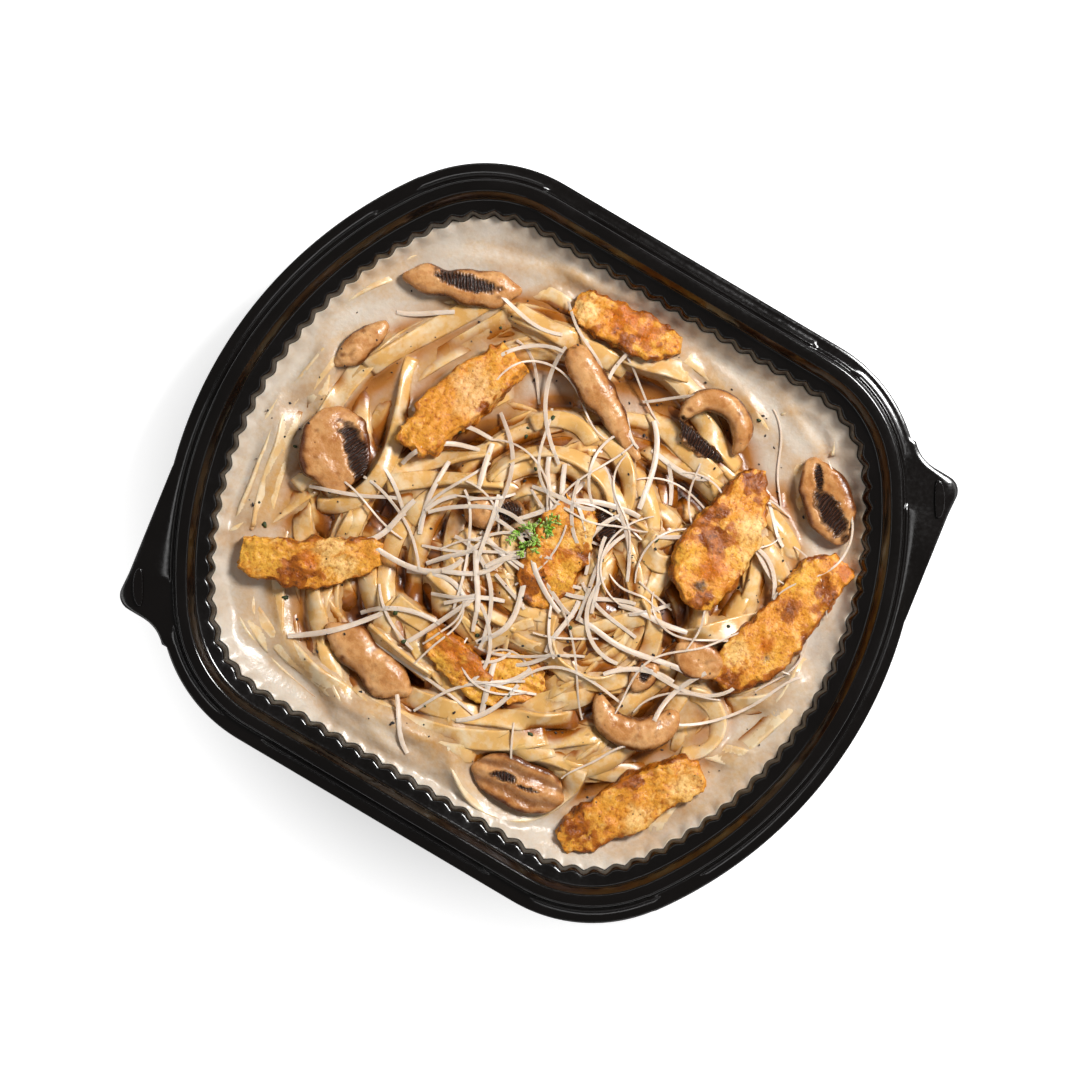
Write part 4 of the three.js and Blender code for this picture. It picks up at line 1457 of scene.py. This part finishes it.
class ALFREDO_OT_cheese(bpy.types.Operator):
    """Scatter the shaved hard cheese, densest left of the middle, with fine curls at the right"""

    bl_idname = "alfredo.cheese"
    bl_label = "Shaved cheese"

    def execute(self, context):
        s = sizes()
        rng = random.Random(5)
        surface = open_surface()
        shavings = bmesh.new()
        for _ in range(s.shavings):
            dense = rng.random() < 0.6
            cx, cy, sx, sy = (-4, -14, 24, 24) if dense else (14, 10, 46, 38)
            x, y = rng.gauss(cx, sx), rng.gauss(cy, sy)
            if room(x, y) < 0.12:
                continue
            length = rng.triangular(10, 46, 22)
            count, sharpness = (4, 24) if rng.random() < 0.6 else (2, 36)
            bends = [rng.gauss(0, sharpness) for _ in range(count)]
            line = course(x, y, rng.uniform(0, 360), length, bends, 1.0)
            if room(line[0][-1], line[1][-1]) < 0.08:
                continue
            wide = s.shaving_width / MM * rng.choice((0.5, 0.7, 0.9, 1.0, 1.15, 1.3))
            z, lean = laid(line, wide, 0.6, surface, None, 60, sink=0.1)
            z = np.minimum(z, FOOD_TOP)
            lean = lean * 0.5 + rng.uniform(-0.3, 0.3)
            stamp(line, z - 0.2, lean * 0, wide, 0.4, surface)
            add_into(shavings, swept(8, strip_frames(line, z, lean, wide, 0.3, every=2, taper=0.15)))
        curls = bmesh.new()
        for _ in range(s.cheese_curls):
            x, y = rng.gauss(52, 26), rng.gauss(24, 26)
            if room(x, y) < 0.05:
                continue
            bends = [math.degrees(10 / rng.uniform(8, 26)) * rng.choice((-1, 1, 1)) for _ in range(4)]
            line = course(x, y, rng.uniform(0, 360), rng.uniform(18, 60), bends, 1.0)
            if room(line[0][-1], line[1][-1]) < 0.03:
                continue
            z, lean = laid(line, 0.8, 0.6, surface, None, 40)
            z = np.minimum(z, FOOD_TOP)
            add_into(curls, swept(6, strip_frames(line, z, lean, 0.7, 0.55, every=1, taper=0.4)))
        material = cheese_finish()
        for name, bm in (("cheese_shavings", shavings), ("cheese_curls", curls)):
            press_in(bm)
            piece = make_object(name, bm, material)
            piece.data.set_sharp_from_angle(angle=math.radians(50))
            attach(piece, "root")
        LAID["open"] = surface
        return {"FINISHED"}


class ALFREDO_OT_seasoning(bpy.types.Operator):
    """Scatter pepper and green flakes and set the sprig of thyme in the middle"""

    bl_idname = "alfredo.seasoning"
    bl_label = "Pepper and herbs"

    def execute(self, context):
        rng = random.Random(23)
        surface = LAID["open"]
        pepper, flakes, sprig = bmesh.new(), bmesh.new(), bmesh.new()
        for _ in range(sizes().pepper_specks):
            angle, share = rng.uniform(0, 2 * math.pi), math.sqrt(rng.random())
            x = PEPPER_REACH[0] * share * math.cos(angle)
            y = PEPPER_REACH[1] * share * math.sin(angle)
            if room(x, y) < 0.01:
                continue
            self.speck(pepper, rng, x, y, float(surface.at(x, y)), rng.choice((0.22, 0.26, 0.32, 0.45)), 1.0)
        for _ in range(sizes().herb_flakes):
            x, y = rng.uniform(-85, 85), rng.uniform(-70, 70)
            if room(x, y) < 0.02:
                continue
            self.speck(flakes, rng, x, y, float(surface.at(x, y)), rng.uniform(0.4, 0.9), 0.25)
        for _ in range(sizes().thyme_stems):
            self.stem(sprig, rng, surface)
        dark = speck_finish("black_pepper", srgb(46, 34, 26), srgb(22, 16, 12), 0.6)
        green = speck_finish("thyme", colours().herb, srgb(178, 192, 108), 0.5)
        flake = speck_finish("dried_herb", srgb(60, 74, 30), srgb(34, 44, 18), 0.6)
        for name, bm, material in (
            ("pepper_specks", pepper, dark), ("herb_flakes", flakes, flake), ("thyme_sprig", sprig, green)
        ):
            piece = make_object(name, bm, material, smooth=name != "pepper_specks")
            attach(piece, "root")
        return {"FINISHED"}

    def speck(self, target, rng, x, y, z, radius, flatness):
        bm = bmesh.new()
        bmesh.ops.create_icosphere(bm, subdivisions=1, radius=radius)
        for vert in bm.verts:
            vert.co *= rng.uniform(0.7, 1.2)
        turn = Matrix.Rotation(rng.uniform(0, 6.3), 4, "Z")
        turn = turn @ Matrix.Diagonal((rng.uniform(1, 1.9), 1, flatness, 1))
        bmesh.ops.transform(bm, matrix=Matrix.Translation((x, y, z + radius * 0.2)) @ turn, verts=bm.verts)
        add_into(target, bm)

    def stem(self, target, rng, surface):
        x, y = -2.6 + rng.gauss(0, 2.2), 3.6 + rng.gauss(0, 3.4)
        heading = rng.uniform(0, 360)
        line = course(x, y, heading, rng.uniform(4, 8), [rng.gauss(0, 60) for _ in range(3)], 0.7)
        base = surface.at(line[0], line[1])
        z = base + 0.5 + np.linspace(0, rng.uniform(0.5, 2.2), len(base))
        z = np.minimum(z, FOOD_TOP)
        add_into(target, swept(5, strip_frames(line, z, np.zeros(len(z)), 0.35, 0.35)))
        for i in range(1, len(z)):
            for way in (-1, 1):
                leaf = bmesh.new()
                bmesh.ops.create_icosphere(leaf, subdivisions=1, radius=1.0)
                size = rng.uniform(0.6, 1.15)
                turn = Matrix.Rotation(line[2][i] + way * rng.uniform(0.5, 1.2), 4, "Z")
                turn = turn @ Matrix.Rotation(rng.uniform(-0.8, 0.3), 4, "Y")
                shape = Matrix.Translation((size, 0, 0)) @ Matrix.Diagonal((size, size * 0.38, 0.12, 1))
                place = Matrix.Translation((line[0][i], line[1][i], z[i]))
                bmesh.ops.transform(leaf, matrix=place @ turn @ shape, verts=leaf.verts)
                add_into(target, leaf)


# ---------------------------------------------------------------- stage


CAMERA_TURN = 30.6
VIEW_WIDTH = 340.2
CAMERA_HEIGHT = 900.0
SENSOR_WIDTH = 36
STRIP_RADIUS = 640
STRIP_HEIGHT = 560
STRIP_COUNT = 4


def area_light(name, x, y, z, size, power, tall=None):
    """Lamp turned towards the tray: a disk, or a strip when its height is given too."""
    data = bpy.data.lights.new(name, "AREA")
    data.shape = "RECTANGLE" if tall else "DISK"
    data.size = size * MM
    if tall:
        data.size_y = tall * MM
    data.energy = power
    lamp = bpy.data.objects.new(name, data)
    lamp.location = Vector((x, y, z)) * MM
    look = Vector((0, 0, 30)) * MM - lamp.location
    lamp.rotation_euler = look.to_track_quat("-Z", "Y").to_euler()
    bpy.context.scene.collection.objects.link(lamp)


class ALFREDO_OT_stage(bpy.types.Operator):
    """Set the pale floor, which glows and is painted with a soft shadow round the tray, the soft studio
    lights and the camera straight above
    """

    bl_idname = "alfredo.stage"
    bl_label = "Stage"

    def execute(self, context):
        scene = context.scene
        bm = bmesh.new()
        bmesh.ops.create_grid(bm, x_segments=8, y_segments=8, size=2500)
        f = Finish("glowing_floor_painted_shadow")
        f.colour(f.mix(f.grain(8, 2), (0.5, 0.5, 0.5), (0.52, 0.52, 0.52)))
        f.set(Roughness=0.9)
        # Painted shadow and glow: the floor gives out light of its own, weaker close round the tray as a
        # painted shadow.
        painted_shadow_round_tray = f.node("ShaderNodeMapping")
        painted_shadow_round_tray.inputs["Location"].default_value = (0.004, 0.012, 0)
        painted_shadow_round_tray.inputs["Scale"].default_value = (1.0, 1.14, 1.0)
        f.link(f.place, painted_shadow_round_tray.inputs["Vector"])
        away = f.node("ShaderNodeVectorMath", operation="LENGTH")
        f.link(painted_shadow_round_tray.outputs["Vector"], away.inputs[0])
        f.shader.inputs["Emission Color"].default_value = (1, 1, 1, 1)
        f.set(Emission_Strength=f.span(away.outputs["Value"], 0.1, 0.142, 0.5, 0.97))
        floor = make_object("floor", bm, f.material)
        camera_data = bpy.data.cameras.new("camera")
        camera_data.sensor_width = SENSOR_WIDTH
        camera_data.lens = SENSOR_WIDTH * CAMERA_HEIGHT / VIEW_WIDTH
        camera_data.clip_end = 20
        camera = bpy.data.objects.new("camera", camera_data)
        camera.location = (-0.0002, 0.0010, (CAMERA_HEIGHT + RIM_TOP) * MM)
        camera.rotation_euler = (0, 0, math.radians(CAMERA_TURN))
        scene.collection.objects.link(camera)
        scene.camera = camera
        area_light("key", 250, 560, 760, 260, 12.2)
        for number in range(STRIP_COUNT):
            turn = math.radians(CAMERA_TURN + 15 + 360 / STRIP_COUNT * number)
            x, y = STRIP_RADIUS * math.cos(turn), STRIP_RADIUS * math.sin(turn)
            area_light("strip_%d" % number, x, y, STRIP_HEIGHT, 1050, 0.8, tall=75)
        world = bpy.data.worlds.new("soft_room")
        world.use_nodes = True
        sky = world.node_tree.nodes["Background"]
        sky.inputs["Color"].default_value = (1, 0.985, 0.97, 1)
        sky.inputs["Strength"].default_value = 0.13
        scene.world = world
        scene.view_settings.view_transform = "Standard"
        scene.view_settings.look = "None"
        return {"FINISHED"}


class ALFREDO_PT_panel(bpy.types.Panel):
    """Sizes and colours of the dish, and one button for each kind of piece"""

    bl_label = "Fettuccine alfredo"
    bl_idname = "ALFREDO_PT_panel"
    bl_space_type = "VIEW_3D"
    bl_region_type = "UI"
    bl_category = "Alfredo"

    def draw(self, context):
        layout = self.layout
        for group in (context.scene.alfredo_sizes, context.scene.alfredo_colours):
            for key in group.__annotations__:
                layout.prop(group, key)
        for operator in OPERATORS:
            layout.operator(operator.bl_idname)


OPERATORS = (
    ALFREDO_OT_tray,
    ALFREDO_OT_chicken,
    ALFREDO_OT_mushrooms,
    ALFREDO_OT_noodles,
    ALFREDO_OT_cream,
    ALFREDO_OT_cheese,
    ALFREDO_OT_seasoning,
    ALFREDO_OT_stage,
)
CLASSES = (AlfredoSizes, AlfredoColours, *OPERATORS, ALFREDO_PT_panel)


def register():
    for cls in CLASSES:
        bpy.utils.register_class(cls)
    bpy.types.Scene.alfredo_sizes = bpy.props.PointerProperty(type=AlfredoSizes)
    bpy.types.Scene.alfredo_colours = bpy.props.PointerProperty(type=AlfredoColours)


def unregister():
    del bpy.types.Scene.alfredo_colours
    del bpy.types.Scene.alfredo_sizes
    for cls in reversed(CLASSES):
        bpy.utils.unregister_class(cls)


def main():
    register()
    bpy.ops.alfredo.tray()
    bpy.ops.alfredo.chicken()
    bpy.ops.alfredo.mushrooms()
    bpy.ops.alfredo.noodles()
    bpy.ops.alfredo.cream()
    bpy.ops.alfredo.cheese()
    bpy.ops.alfredo.seasoning()
    bpy.ops.alfredo.stage()


if __name__ == "__main__":
    main()
